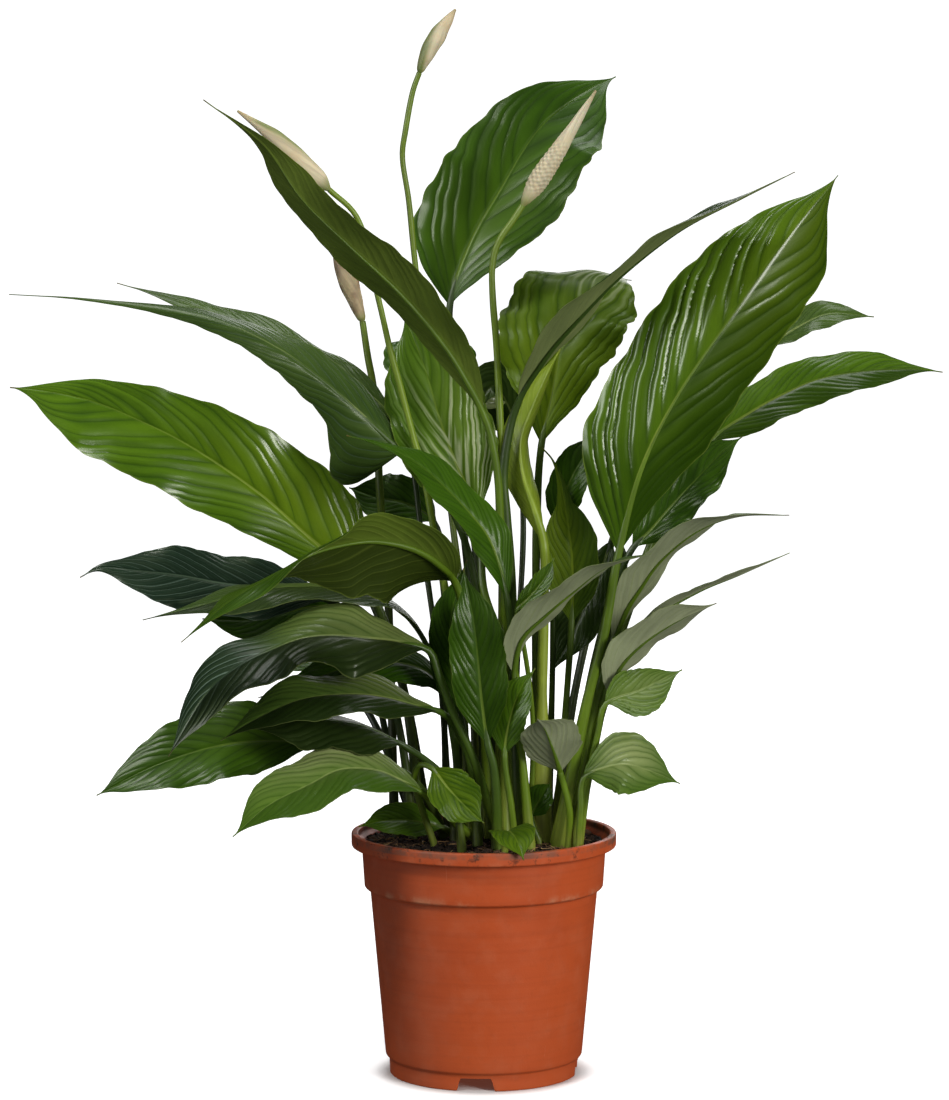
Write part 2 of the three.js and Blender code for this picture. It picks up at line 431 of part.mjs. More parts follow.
    stalk: [[10, 54, 153], [10, 66, 200], [8, 82, 240], [4, 98, 262]],
    blade: [[4, 98, 262], [2, 116, 273], [0, 134, 272], [-2, 150, 260]],
    faces: [[0, -0.6, 0.8], [0, 0.2, 1]], lift: [10, 10], curl: [-8, -8], wave: [2, 3, 0],
  },
  {
    name: 'leaf_back_low_left', grade: 'plain', width: 50, drip: 0.05, thick: [2.8, 2.2],
    stalk: [[-44, 26, 153], [-58, 40, 190], [-76, 56, 226], [-94, 70, 246]],
    blade: [[-94, 70, 246], [-118, 86, 258], [-144, 104, 258], [-172, 122, 244]],
    faces: [[0.3, -0.5, 0.8], [0, 0.1, 1]], lift: [10, 10], curl: [-8, -8], wave: [2, 3, 0],
  },
];

// Each flower is a stalk and a furled spathe that carries on where the stalk ends.
// swell: the spathe's radii from its foot to its tip.
const flowers = [
  {
    name: 'top', thick: [2.6, 2, 1.8],
    stalk: [[-4, 14, 153], [-8, 20, 250], [-20, 32, 350], [-31, 36, 430], [-38, 34, 478],
      [-43.5, 30, 514.5],
      [-48, 26, 559], [-52, 24, 588], [-50, 22, 603], [-45, 21, 629], [-41, 20, 640]],
    spathe: [[-41, 20, 640], [-36, 20, 652], [-29, 21, 664], [-18, 22, 680]],
    swell: [2, 4.6, 5.6, 4, 0.7],
  },
  {
    name: 'left', thick: [2.6, 2.2, 1.8],
    stalk: [[-10, -6, 153], [-14, -4, 250], [-22, -6, 300], [-30, -8, 340], [-37.5, -8, 382],
      [-45.5, -8, 413],
      [-53, -9, 442], [-59, -10, 464], [-66, -12, 495], [-80, -16, 549], [-97, -20, 566]],
    spathe: [[-97, -20, 566], [-112, -22, 581], [-130, -24, 598], [-154, -26, 615]],
    swell: [2.4, 6, 5.6, 3.4, 0.7],
  },
  {
    name: 'left_low', thick: [2.8, 2.6, 2.2],
    stalk: [[-58, 30, 153], [-60, 36, 240], [-62, 42, 300], [-66.5, 47, 357], [-68, 50, 380],
      [-69, 52, 412],
      [-72, 54, 441], [-75, 54, 457], [-78.5, 53, 481]],
    spathe: [[-78.5, 53, 481], [-87, 51, 505], [-93, 49, 522], [-98, 47, 536]],
    swell: [2.4, 5, 6.4, 4.4, 0.8],
  },
  {
    name: 'right', thick: [3.2, 2.4, 2],
    stalk: [[10, 14, 153], [11, 12, 250], [12, 10, 330], [11.5, 8, 388], [10.3, 8, 420], [7.7, 8, 471],
      [5.7, 8, 496], [5.2, 8, 515], [7, 8, 527], [11.5, 8, 537], [18, 9, 546], [24.5, 10, 556]],
    spathe: [[24.5, 10, 556], [35.6, 11, 573], [51.3, 13, 597], [71, 14, 628.6]],
    swell: [2.4, 6.2, 5, 3, 0.7],
  },
];

// The clear space between a flower's stalk and its spathe, and the sides of each
const spatheGap = 0.45;
const stalkSides = 6;
const spatheSides = 8;

const wasm = await Module();
wasm.setup();

function material(color, roughness) {
  return new THREE.MeshStandardMaterial({ color, roughness, metalness: 0 });
}

// A manifold solid from a closed geometry, and the other way round.
function toSolid(geometry) {
  const bare = geometry.clone();
  bare.deleteAttribute('normal');
  bare.deleteAttribute('uv');
  const merged = BufferGeometryUtils.mergeVertices(bare, 1e-4);
  return new wasm.Manifold(new wasm.Mesh({
    numProp: 3,
    vertProperties: new Float32Array(merged.attributes.position.array),
    triVerts: new Uint32Array(merged.index.array),
  }));
}

function toGeometry(solid) {
  const mesh = solid.getMesh();
  return indexedGeometry(mesh.vertProperties, mesh.triVerts);
}

function indexedGeometry(positions, indices) {
  const geometry = new THREE.BufferGeometry();
  geometry.setAttribute('position', new THREE.Float32BufferAttribute(positions, 3));
  geometry.setIndex(Array.from(indices));
  geometry.computeVertexNormals();
  return geometry;
}

// A lathed solid about the Z axis, from [radius, height] pairs.
function turned(profile, sides) {
  const points = profile.map(([radius, height]) => new THREE.Vector2(radius, height));
  return new THREE.LatheGeometry(points, sides).rotateX(Math.PI / 2);
}

// The inside of the pot from its floor to its mouth, as [radius, height] pairs.
function cavityProfile() {
  return [
    [bodyFootRadius - wallThickness - stepRound, footRingHeight],
    [bodyFootRadius - wallThickness, bodyFootHeight],
    [bodyTopRadius - wallThickness, bandFootHeight - stepHeight],
    [bandFootRadius - wallThickness, bandFootHeight + stepRound],
    [bandTopRadius - wallThickness, potHeight - lipHeight - stepHeight],
    [mouthRadius - stepRound, potHeight - mouthDepth],
    [mouthRadius, potHeight],
  ];
}

// The outside of the pot from the middle of its underside to the top of its lip.
function outsideProfile() {
  const innerFoot = footRadius - footRingThickness;
  const underside = footRingHeight - wallThickness;
  const lipFoot = potHeight - lipHeight;
  return [
    [0, underside],
    [innerFoot, underside],
    [innerFoot, 0],
    [footRadius - draft, 0],
    [footRadius, footRingHeight],
    [bodyFootRadius - stepRound, footRingHeight + 2 * stepRound],
    [bodyFootRadius, bodyFootHeight],
    [bodyTopRadius, bandFootHeight - stepHeight],
    [bodyTopRadius + stepRound, bandFootHeight - stepHeight / 2],
    [bandFootRadius - stepRound, bandFootHeight],
    [bandFootRadius, bandFootHeight + stepRound],
    [bandTopRadius, lipFoot - lipRound],
    [lipRadius - lipRound, lipFoot],
    [lipRadius, lipFoot + lipRound],
    [lipRadius, potHeight - lipRound],
    [lipRadius - lipRound, potHeight],
  ];
}

function potGeometry() {
  const profile = [...outsideProfile(), ...cavityProfile().reverse(), [0, footRingHeight]];
  let pot = toSolid(turned(profile, potSides));
  for (let index = 0; index < notchCount; index += 1) {
    pot = pot.subtract(toSolid(notchGeometry(index)));
  }
  return toGeometry(pot);
}

// A notch in the foot ring, a little wider at the floor, with its roof at the pot's underside.
function notchGeometry(index) {
  const half = notchWidth / 2;
  const roof = footRingHeight - wallThickness;
  const outline = new THREE.Shape();
  outline.moveTo(-half, -1);
  outline.lineTo(half, -1);
  outline.lineTo(half - notchTaper, roof - notchTaper);
  outline.lineTo(half - 2 * notchTaper, roof);
  outline.lineTo(2 * notchTaper - half, roof);
  outline.lineTo(notchTaper - half, roof - notchTaper);
  outline.closePath();
  const reach = 2 * footRingThickness;
  const geometry = new THREE.ExtrudeGeometry(outline, { depth: reach, bevelEnabled: false });
  geometry.rotateX(Math.PI / 2);
  geometry.translate(0, reach - footRadius - 1, 0);
  return geometry.rotateZ(THREE.MathUtils.degToRad(notchTurn + index * 360 / notchCount));
}

// The outline of the soil: it follows the pot's inside and ends in a low mound.
function soilProfile() {
  const wall = cavityProfile().filter(([, height]) => height < soilHeight)
    .map(([radius, height]) => [radius - soilGap, height]);
  const edge = wall[wall.length - 1][0];
  wall[0][1] += soilGap;
  return [
    [0, wall[0][1]],
    ...wall,
    [edge + draft, soilHeight - soilEdge],
    [edge * 0.8, soilHeight],
    [edge * 0.5, soilHeight + soilMound * 0.8],
    [0, soilHeight + soilMound],
  ];
}

// Soil that fills the pot, with one blind hole for each stem.
function soilGeometry() {
  let soil = toSolid(turned(soilProfile(), potSides));
  for (const plant of [...leaves, ...flowers]) {
    soil = soil.subtract(toSolid(holeGeometry(plant)));
  }
  return toGeometry(soil);
}

function holeGeometry({ stalk, thick }) {
  const radius = (thick[0] + stemClearance) / Math.cos(Math.PI / holeSides);
  const height = holeDepth + holeHeadroom;
  const geometry = new THREE.CylinderGeometry(radius, radius, height, holeSides);
  geometry.rotateX(Math.PI / 2);
  return geometry.translate(stalk[0][0], stalk[0][1], soilHeight - holeDepth + height / 2);
}

// A smooth curve through hand-placed points, walked by its length.
function walk(points) {
  const spanSamples = 24;
  const tangentReach = 1.5;
  const places = points.map((point) => new THREE.Vector3(...point));
  const curve = new THREE.CatmullRomCurve3(places, false, 'centripetal');
  const steps = (points.length - 1) * spanSamples;
  const dense = curve.getPoints(steps);
  const lengths = [0];
  for (let index = 1; index <= steps; index += 1) {
    lengths.push(lengths[index - 1] + dense[index].distanceTo(dense[index - 1]));
  }
  const at = (length) => {
    let index = 1;
    while (index < steps && lengths[index] < length) index += 1;
    const part = (length - lengths[index - 1]) / (lengths[index] - lengths[index - 1]);
    return dense[index - 1].clone().lerp(dense[index], THREE.MathUtils.clamp(part, 0, 1));
  };
  const total = lengths[steps];
  const tangent = (length) => {
    const ahead = at(Math.min(total, length + tangentReach));
    return ahead.sub(at(Math.max(0, length - tangentReach))).normalize();
  };
  return { at, tangent, total, lengthAt: (pointIndex) => lengths[pointIndex * spanSamples] };
}

// A value along evenly spaced samples, which may be numbers or vectors.
function sampled(samples, part) {
  const place = THREE.MathUtils.clamp(part, 0, 1) * (samples.length - 1);
  const index = Math.min(Math.floor(place), samples.length - 2);
  const rest = place - index;
  if (typeof samples[0] === 'number') return samples[index] * (1 - rest) + samples[index + 1] * rest;
  return new THREE.Vector3(...samples[index]).lerp(new THREE.Vector3(...samples[index + 1]), rest);
}

// The vector made square to a tangent.
function squared(vector, tangent) {
  return vector.clone().addScaledVector(tangent, -vector.dot(tangent)).normalize();
}

// A quarter sine wave that rises from 0 to 1 over a span.
function rise(distance, span) {
  return Math.sin(Math.PI / 2 * THREE.MathUtils.clamp(distance / span, 0, 1));
}

// Half the blade's width: it widens from the stalk, stays wide, closes, and tapers to a thin tip.
function halfWidth(leaf, part, half) {
  const bodyEnd = 1 - leaf.drip;
  const body = Math.min(1, part / bodyEnd);
  const [footSpan, tipSpan] = (leaf.ends ?? usualEnds)[half];
  const full = leaf.width / 2 * (leaf.halves ?? evenHalves)[half];
  const core = full * rise(body, footSpan) ** footPower * rise(1 - body, tipSpan) ** tipPower;
  const taperPart = taperReach * leaf.drip;
  const taperStart = 1 - taperPart;
  const waist = full * rise(1 - taperStart / bodyEnd, tipSpan) ** tipPower;
  const taper = part > taperStart ? waist * ((1 - part) / taperPart) ** taperPower : 0;
  const stalkEnd = leaf.thick[leaf.thick.length - 1];
  const neck = stalkEnd * Math.max(0, 1 - part / neckPart);
  const tip = tipHalfWidth + tipWiden * (1 - part);
  return Math.max(core, taper, neck, tip) + (half === 0 && leaf.lobe ? lobeWidth(leaf.lobe, part) : 0);
}

// A bell-shaped lobe on the blade's margin, drawn in at the blade's foot.
function lobeWidth([height, place, spread], part) {
  return height * Math.exp(-(((part - place) / spread) ** 2)) * rise(part, place / 2);
}

// The middle surface of the blade, at part 0 to 1 of its length and side -1 to 1 across it.
function bladePoint(leaf, path, base, part, side) {
  const length = base + (path.total - base) * part;
  const tangent = path.tangent(length);
  const face = squared(sampled(leaf.faces, part), tangent);
  const across = new THREE.Vector3().crossVectors(tangent, face);
  const half = side < 0 ? 0 : 1;
  const out = Math.abs(side);
  const width = halfWidth(leaf, part, half);
  const angle = THREE.MathUtils.degToRad(leaf.lift[half] + leaf.curl[half] * out);
  const [waveHeight, waveCount, wavePhase] = leaf.wave;
  const turn = 2 * Math.PI * (waveCount * part + wavePhase + half * halfWaveShift);
  const fullness = width / (leaf.width / 2);
  const wave = waveHeight * Math.sin(turn) * out * out * Math.min(1, fullness);
  return path.at(length)
    .addScaledVector(across, Math.sign(side) * width * out * Math.cos(angle))
    .addScaledVector(face, width * out * Math.sin(angle) + wave);
}

// The blade's own normal there, from short steps along and across it.
function bladeNormal(leaf, path, base, part, side) {
  const step = 0.02;
  const sideStep = 0.1;
  const low = Math.max(step / 2, part - step);
  const high = Math.min(1, part + step);
  const along = bladePoint(leaf, path, base, high, side).sub(bladePoint(leaf, path, base, low, side));
  const right = bladePoint(leaf, path, base, part, Math.min(1, side + sideStep));
  const left = bladePoint(leaf, path, base, part, Math.max(-1, side - sideStep));
  return right.sub(left).cross(along).normalize();
}

// One ring of points: the upper side from left to right, then the underside back again.
function bladeRing(leaf, path, base, part, across) {
  const ring = [];
  const keel = leaf.thick[leaf.thick.length - 1] * keelScale * (1 - part) ** 2;
  for (let index = 0; index < 2 * across; index += 1) {
    const upper = index < across;
    const place = upper ? index : 2 * across - 1 - index;
    const side = -1 + 2 * place / (across - 1);
    const thickness = THREE.MathUtils.lerp(ribThickness, marginThickness, Math.abs(side));
    const depth = upper ? thickness / 2 : -thickness / 2 - (side === 0 ? keel : 0);
    const normal = bladeNormal(leaf, path, base, part, side);
    ring.push(bladePoint(leaf, path, base, part, side).addScaledVector(normal, depth));
  }
  return ring;
}

// A round ring with the same order of points as a blade ring.
function roundRing(centre, tangent, face, radius, count) {
  const across = new THREE.Vector3().crossVectors(tangent, face);
  const ring = [];
  for (let index = 0; index < count; index += 1) {
    const angle = Math.PI - (index + 0.5) * 2 * Math.PI / count;
    ring.push(centre.clone()
      .addScaledVector(across, radius * Math.cos(angle))
      .addScaledVector(face, radius * Math.sin(angle)));
  }
  return ring;
}

// Rings from the foot in the soil up to the end of the stalk, with faces carried down from the blade.
function stalkRings(plant, path, end, firstFace, count, segments) {
  const rings = [];
  let face = firstFace;
  for (let index = segments; index >= 0; index -= 1) {
    const part = index / segments;
    const length = end * part;
    const tangent = index === 0 ? new THREE.Vector3(0, 0, 1) : path.tangent(length);
    face = squared(face, tangent);
    rings.unshift(roundRing(path.at(length), tangent, face, sampled(plant.thick, part), count));
  }
  const drop = new THREE.Vector3(0, 0, soilHeight - holeDepth + soilGap - stemFootHeight);
  rings.unshift(rings[0].map((point) => point.clone().add(drop)));
  return rings;
}

// A closed body through rings of the same count. Quads of the underside are split like those of the
// upper side, so that a waved blade keeps its thickness.
function sweptGeometry(rings, across) {
  const count = rings[0].length;
  const positions = rings.flat().flatMap((point) => point.toArray());
  const indices = [];
  for (let row = 0; row < rings.length - 1; row += 1) {
    for (let index = 0; index < count; index += 1) {
      const next = (index + 1) % count;
      const a = row * count + index;
      const b = row * count + next;
      const c = b + count;
      const d = a + count;
      if (index < across) indices.push(a, b, c, a, c, d);
      else indices.push(a, b, d, b, c, d);
    }
  }
  const last = (rings.length - 1) * count;
  for (let index = 1; index < count - 1; index += 1) {
    indices.push(0, index + 1, index);
    indices.push(last, last + index, last + index + 1);
  }
  return indexedGeometry(positions, indices);
}

function leafGeometry(leaf) {
  const { across, blade, stalk } = grades[leaf.grade];
  const path = walk([...leaf.stalk, ...leaf.blade.slice(1)]);
  const base = path.lengthAt(leaf.stalk.length - 1);
  const firstFace = squared(new THREE.Vector3(...leaf.faces[0]), path.tangent(base));
  const rings = stalkRings(leaf, path, base, firstFace, 2 * across, Math.max(stalk, leaf.stalk.length - 1));
  const skipped = 0.55;
  for (let index = 1; index <= blade; index += 1) {
    const part = (index - skipped) / (blade - skipped);
    rings.push(bladeRing(leaf, path, base, part, across));
  }
  return sweptGeometry(rings, across);
}

function flowerStalkGeometry(flower) {
  const path = walk(flower.stalk);
  const face = squared(new THREE.Vector3(0, -1, 0.1), path.tangent(path.total));
  const rings = stalkRings(flower, path, path.total, face, stalkSides, flower.stalk.length);
  return sweptGeometry(rings, stalkSides / 2);
}

function spatheGeometry(flower) {
  const path = walk(flower.spathe);
  const segments = 8;
  const rings = [];
  for (let index = 0; index <= segments; index += 1) {
    const part = index / segments;
    const length = spatheGap + (path.total - spatheGap) * part;
    const tangent = path.tangent(length);
    const face = squared(new THREE.Vector3(0, -1, 0.1), tangent);
    rings.push(roundRing(path.at(length), tangent, face, sampled(flower.swell, part), spatheSides));
  }
  return sweptGeometry(rings, spatheSides / 2);
}

function add(parent, name, geometry, look) {
  const mesh = new THREE.Mesh(geometry, look);
  mesh.name = name;
  parent.add(mesh);
}

const plant = new THREE.Group();
add(plant, 'pot', potGeometry(), material(terracotta, 0.5));
add(plant, 'soil', soilGeometry(), material(peat, 0.95));
for (const leaf of leaves) {
  add(plant, leaf.name, leafGeometry(leaf), material(leaf.shade ? shadeGreen : leafGreen, 0.35));
}
for (const flower of flowers) {
  add(plant, `flower_stalk_${flower.name}`, flowerStalkGeometry(flower), material(stalkGreen, 0.45));
  add(plant, `spathe_${flower.name}`, spatheGeometry(flower), material(cream, 0.6));
}

export default plant;
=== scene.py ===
# The looks of a peace lily in a plastic nursery pot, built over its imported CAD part.
# Tables are in millimetres as in the part, and every mesh is made in metres.
import math

import bpy
import numpy as np
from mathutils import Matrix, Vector


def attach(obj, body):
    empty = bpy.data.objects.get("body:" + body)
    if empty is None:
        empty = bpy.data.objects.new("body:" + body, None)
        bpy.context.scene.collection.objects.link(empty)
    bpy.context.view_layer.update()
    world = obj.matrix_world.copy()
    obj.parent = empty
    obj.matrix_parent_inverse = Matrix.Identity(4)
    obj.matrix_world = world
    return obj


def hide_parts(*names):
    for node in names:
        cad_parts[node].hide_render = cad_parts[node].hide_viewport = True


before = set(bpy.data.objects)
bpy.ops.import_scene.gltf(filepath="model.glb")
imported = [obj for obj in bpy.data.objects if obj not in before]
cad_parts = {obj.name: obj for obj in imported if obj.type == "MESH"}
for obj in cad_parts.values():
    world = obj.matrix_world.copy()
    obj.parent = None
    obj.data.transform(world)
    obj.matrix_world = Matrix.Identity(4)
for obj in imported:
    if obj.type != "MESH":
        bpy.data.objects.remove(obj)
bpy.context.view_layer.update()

# Each leaf: a stalk, a midrib that carries on where the stalk ends, and how the blade lies on it.
# The blade's first half lies the other way from its sideways direction, which is the cross product
# of the midrib's direction and the way that the upper side looks. Where an entry has a value for
# each half, the first half's comes first, and a single number stands for both.
# thick: the stalk's radii from foot to blade. drip: the thin tip's part of the blade. faces: the way
# the upper side looks. lift and curl: the angle of each half in degrees, and what is added to it out
# to the margin. wave: height, number and phase. ends: where each half widens and closes. halves: each
# half's own width. lobe: how much wider the first half is at one place, where that is, and over what
# part of the blade. nick: depth of the scallops in the margin. pleat: how strongly each half bulges
# between its veins. tonesAndPaintedLight: each half's lightness, painted light and shade on a half
# that is lit or turned from the light; where it is not given, a random tone. paintedShade: painted
# shade that darkens each half. sweep: how far the veins lean to the tip. dusk: where the bluish tone
# starts and ends, and its depth; it is painted shade with a bluish reflection. paintedGlow and
# paintedSheen: depth, place along the blade, side and reach of a patch of painted light, where light
# shines through the blade or falls on it, and of a painted grey sheen. shade: marks a darker leaf
# that lies in the shade of others; this script doesn't read it.
leaves = [
    dict(name="leaf_top_broad", look="deep", width=86, drip=0.05, thick=[3.6, 2.2],
         stalk=[[8, 32, 153], [2, 35, 260], [-10, 40, 380], [-19, 44, 455], [-22, 45, 491]],
         blade=[[-9.5, 56, 530], [8.5, 68, 562], [38.5, 86, 608], [73, 100, 633], [87, 106, 640]],
         faces=[[-0.1, -1, 0.25], [-0.2, -1, 0.4]], lift=12, curl=[-6, 8], wave=[2.5, 3, 0],
         ends=[[0.26, 0.56], [0.46, 0.28]], halves=[0.95, 1.14], pleat=[1, 0.35],
         paintedGlow=[0.35, 0.25, 0, 0.3]),
    dict(name="leaf_right_broad", look="bright", width=88, drip=0.05, thick=[4.2, 2.6],
         stalk=[[47, -18, 153], [57.5, -26, 206], [66.7, -31, 251], [74.8, -36, 284],
             [80.2, -39, 315.5], [84, -42, 338]],
         blade=[[97, -50, 391], [118, -52, 435], [159, -46, 495], [197, -32, 546], [222, -18, 575]],
         faces=[[-0.1, -1, 0.2], [-0.1, -1, 0.3]], lift=[-4, -32], curl=[-6, -10], wave=[2, 3.5, 0.4],
         ends=[[0.28, 0.4], [0.4, 0.2]], halves=[1, 0.92], pleat=[3, 0.8], tonesAndPaintedLight=[0.2, -1.6],
         paintedShade=[0.3, 0.42], paintedGlow=[0.4, 0.8, 0.3, 0.3]),
    dict(name="leaf_right_arch", look="dusky", width=60, drip=0.08, thick=[4.4, 4.2, 3.6, 2.4],
         stalk=[[20, 0, 153], [19, -2, 230], [17, -6, 311], [14, -9, 360], [12.5, -11, 390],
             [21, -15, 432]],
         blade=[[38, -25, 462], [66, -38, 494], [85, -45, 513], [121, -58, 541], [157, -68, 560],
             [190, -75, 577]], faces=[[-0.6, 0.45, 0.65], [-0.6, 0.1, 0.8], [-0.5, 0, 0.9]], lift=18,
         curl=-12, tonesAndPaintedLight=-1.5),
    dict(name="leaf_back_broad", look="soft", width=90, drip=0.05, thick=[3.4, 2.4],
         stalk=[[33, 24, 153], [34, 25, 250], [34, 27, 350], [37, 30, 402]],
         blade=[[44, 38, 434], [50, 45, 466], [62, 56, 493], [79, 72, 508], [97, 88, 507]],
         faces=[[-0.05, -1, 0.35], [-0.1, -0.9, 0.6], [-0.3, -0.4, 0.9]], curl=-12, wave=[4, 4, 0.5],
         ends=[[0.6, 0.3], [0.7, 0.3]], halves=[1, 0.85], nick=0.04, pleat=1, paintedGlow=[0.6, 0.3, 0, 0.3],
         paintedSheen=[1, 0.92, 0, 0.26]),
    dict(name="leaf_left_dark_diagonal", look="olive", shade=True, width=50, drip=0.14,
         thick=[3.2, 2.4],
         stalk=[[14, -25, 153], [13.5, -18, 240], [12.5, -16, 330], [10.3, -19, 357], [9, -23, 382],
             [6, -26, 404], [0.5, -28, 424]],
         blade=[[-19, -38, 462], [-50, -52, 500.5], [-83.5, -68, 532.5], [-111, -82, 560],
             [-134, -95, 593], [-169, -112, 620]], faces=[[0.35, 0.5, 0.75], [0.35, 0.45, 0.8]],
         lift=14, nick=0.04, pleat=0.4, paintedGlow=[0.5, 0.1, 0.5, 0.25]),
    dict(name="leaf_left_long", look="dusky", width=50, drip=0.3, thick=[3, 2],
         stalk=[[0, 6, 153], [-1, 8, 240], [-4, 8, 305], [-15, 6, 350], [-35, 2, 385],
             [-52, -0.5, 400]],
         blade=[[-79, -5, 426], [-104, -9, 448], [-129, -14, 466], [-160, -20, 481.5], [-191, -25, 490],
             [-250, -30, 498], [-297, -32, 501]], faces=[[0.4, -0.95, 0.3], [0.25, -0.5, 0.8],
             [0.2, -0.35, 0.9]], lift=[-20, -8], curl=[-20, -5], ends=[[0.1, 0.8], [0.25, 0.6]],
         halves=[0.62, 0.8], lobe=[30, 0.05, 0.09], nick=0.05, pleat=[0.8, 0.6], dusk=[-2, -1, 0.2]),
    dict(name="leaf_left_long_behind", look="dusky", width=32, drip=0.12, thick=[2.8, 2],
         stalk=[[-14, 26, 153], [-20, 26, 250], [-30, 27, 340], [-42, 29, 390], [-51.5, 31, 411]],
         blade=[[-65, 33, 427], [-91, 36, 448], [-120, 39, 464], [-144, 42, 475.5], [-183, 45, 490],
             [-216, 48, 500], [-237, 50, 506]], faces=[[0.1, -0.4, 0.9]], lift=[6, 10],
         wave=[2, 3, 0.3], pleat=0.7),
    dict(name="leaf_left_broad", look="bright", width=74, drip=0.04, thick=[3.4, 2.4],
         stalk=[[-42, 14, 153], [-46, 16, 210], [-55, 19, 260], [-72, 20, 307]],
         blade=[[-88, 19, 323], [-113.5, 18, 345], [-143, 16, 371.5], [-190, 12, 404], [-219, 9, 419],
             [-250, 6, 432], [-282, 2, 439], [-301, 0, 441]],
         faces=[[-0.1, -1, 0.35], [-0.05, -1, 0.4]], lift=12, wave=[2.2, 4, 0],
         ends=[[0.62, 0.2], [0.22, 0.78]], halves=[0.94, 1.06], pleat=0.8, paintedGlow=[0.5, 0.15, 0.3, 0.35]),
    dict(name="leaf_left_front_arch", look="mid", shade=True, width=62, drip=0.06, thick=[3.2, 2.6],
         stalk=[[4, -8, 153], [0, -16, 230], [-6, -22, 270], [-12, -26, 298], [-18, -30, 320]],
         blade=[[-27.5, -44, 333], [-40, -54, 342], [-55.5, -63, 347.5], [-71, -72, 350],
             [-88.5, -83, 348.5], [-106.5, -97, 344], [-130, -114, 332], [-153, -132, 319],
             [-182, -150, 296]], faces=[[0.45, 0.6, 0.6], [0.1, 0.9, 0.4], [0, 0.45, 0.85],
             [-0.25, -0.5, 0.8], [-0.3, -0.7, 0.65]], lift=[12, -16], wave=[4, 3.5, 0],
         ends=[[0.2, 0.5], [0.12, 0.9]], halves=[0.66, 1.3], pleat=[0.7, 0.5], tonesAndPaintedLight=[-1.4, 2.4],
         paintedShade=[0, 0.45], paintedGlow=[0.5, 0.2, 0.5, 0.3]),
    dict(name="leaf_left_low_arch", look="dusky", width=46, drip=0.12, thick=[3, 2.2],
         stalk=[[-18, -10, 153], [-17, -16, 200], [-23, -20, 240], [-34, -22, 275]],
         blade=[[-43.5, -23, 293.5], [-59, -24, 308], [-78, -26, 314.5], [-97, -29, 317],
             [-140, -38, 316], [-177, -48, 307], [-213, -57, 299]], faces=[[0.75, 0.35, 0.55],
             [0.1, 0.05, 1], [-0.1, -0.3, 0.95]], lift=[-10, 8], curl=[-12, -6], wave=[2, 2.5, 0],
         tonesAndPaintedLight=[-1.2, 1], paintedShade=[0.6, 0], paintedGlow=[0.7, 0.25, 0.6, 0.3]),
    dict(name="leaf_left_under", look="deep", width=32, drip=0.06, thick=[2.4, 2],
         stalk=[[-56, 12, 153], [-62, 14, 210], [-76, 14, 268], [-92, 12, 298]],
         blade=[[-108, 10, 300], [-128, 8, 296], [-150, 5, 292], [-180, 2, 293]],
         faces=[[0, -0.85, 0.5]], lift=8, curl=-4, wave=[1.5, 2, 0]),
    dict(name="leaf_left_twisted", look="dusky", shade=True, width=58, drip=0.06, thick=[3, 2.4],
         stalk=[[10, -16, 153], [2, -27, 180], [-8, -38, 212], [-20, -44, 240], [-28, -45, 262],
             [-34, -44, 278]],
         blade=[[-52.5, -50, 284.5], [-71, -56, 287.5], [-96, -62, 290], [-114, -68, 288.5],
             [-132.5, -75, 282], [-150.5, -86, 274], [-168, -98, 260.5], [-193, -115, 221.5]],
         faces=[[0.3, -0.5, 0.8], [0, -0.75, 0.65], [-0.1, -0.35, 0.9], [-0.75, -0.7, 0.3],
             [-0.8, -0.7, 0.2]], lift=[8, 10], curl=[-10, -8], wave=[3, 3, 0],
         ends=[[0.3, 0.3], [0.3, 0.3]], halves=[1, 0.8], pleat=0.8, tonesAndPaintedLight=[-1.8, 1.2], paintedShade=[0.75, 0],
         dusk=[0.42, 0.6, 1], paintedGlow=[0.75, 0.12, 0.6, 0.3]),
    dict(name="leaf_left_lower", look="dusky", width=44, drip=0.08, thick=[2.8, 2.2],
         stalk=[[-4, -25, 153], [-6, -24, 190], [-12, -26, 214], [-20, -34, 231], [-28, -44, 240]],
         blade=[[-43, -54, 245], [-62, -61, 251], [-83, -69, 254], [-113.5, -80, 252], [-141, -90, 241],
             [-162, -98, 229]], faces=[[0.3, -0.4, 0.85], [0, -0.45, 0.9], [-0.3, -0.6, 0.7]],
         lift=[6, 12], curl=[-8, -10], tonesAndPaintedLight=[-1.8, 0.8], paintedShade=[0.7, 0], paintedGlow=[0.7, 0.15, 0.8, 0.3]),
    dict(name="leaf_left_lower_dark", look="deep", shade=True, width=40, drip=0.08, thick=[2.8, 2.2],
         stalk=[[-14, 4, 153], [-16, 1, 190], [-20, -3, 220], [-25, -7, 243]],
         blade=[[-34, -12, 259], [-53, -18, 267], [-84, -26, 266], [-115, -34, 256], [-142, -42, 248]],
         faces=[[0.4, -0.5, 0.8], [0, -0.5, 0.85], [-0.2, -0.6, 0.8]], lift=[4, 8], curl=-10,
         wave=[2, 2.5, 0.4], halves=[1, 0.85], tonesAndPaintedLight=[-1.8, 0]),
    dict(name="leaf_low_left_broad", look="deep", width=56, drip=0.04, thick=[2.8, 2.2],
         stalk=[[-26, 8, 153], [-35, 1, 175], [-49, -11, 194], [-67, -21, 203], [-85, -29, 212.5],
             [-103.5, -35, 219.5]],
         blade=[[-116, -38, 220], [-160, -44, 219], [-204, -50, 207], [-243, -55, 188]],
         faces=[[-0.1, -0.8, 0.55], [-0.1, -0.85, 0.5]], curl=-6, wave=[1.5, 3, 0],
         ends=[[0.38, 0.5], [0.38, 0.62]], halves=[0.86, 1], tonesAndPaintedLight=[0, -0.6],
         paintedGlow=[0.35, 0.3, 0.2, 0.3]),
    dict(name="leaf_low_left_arch", look="dusky", width=42, drip=0.06, thick=[2.6, 2.2],
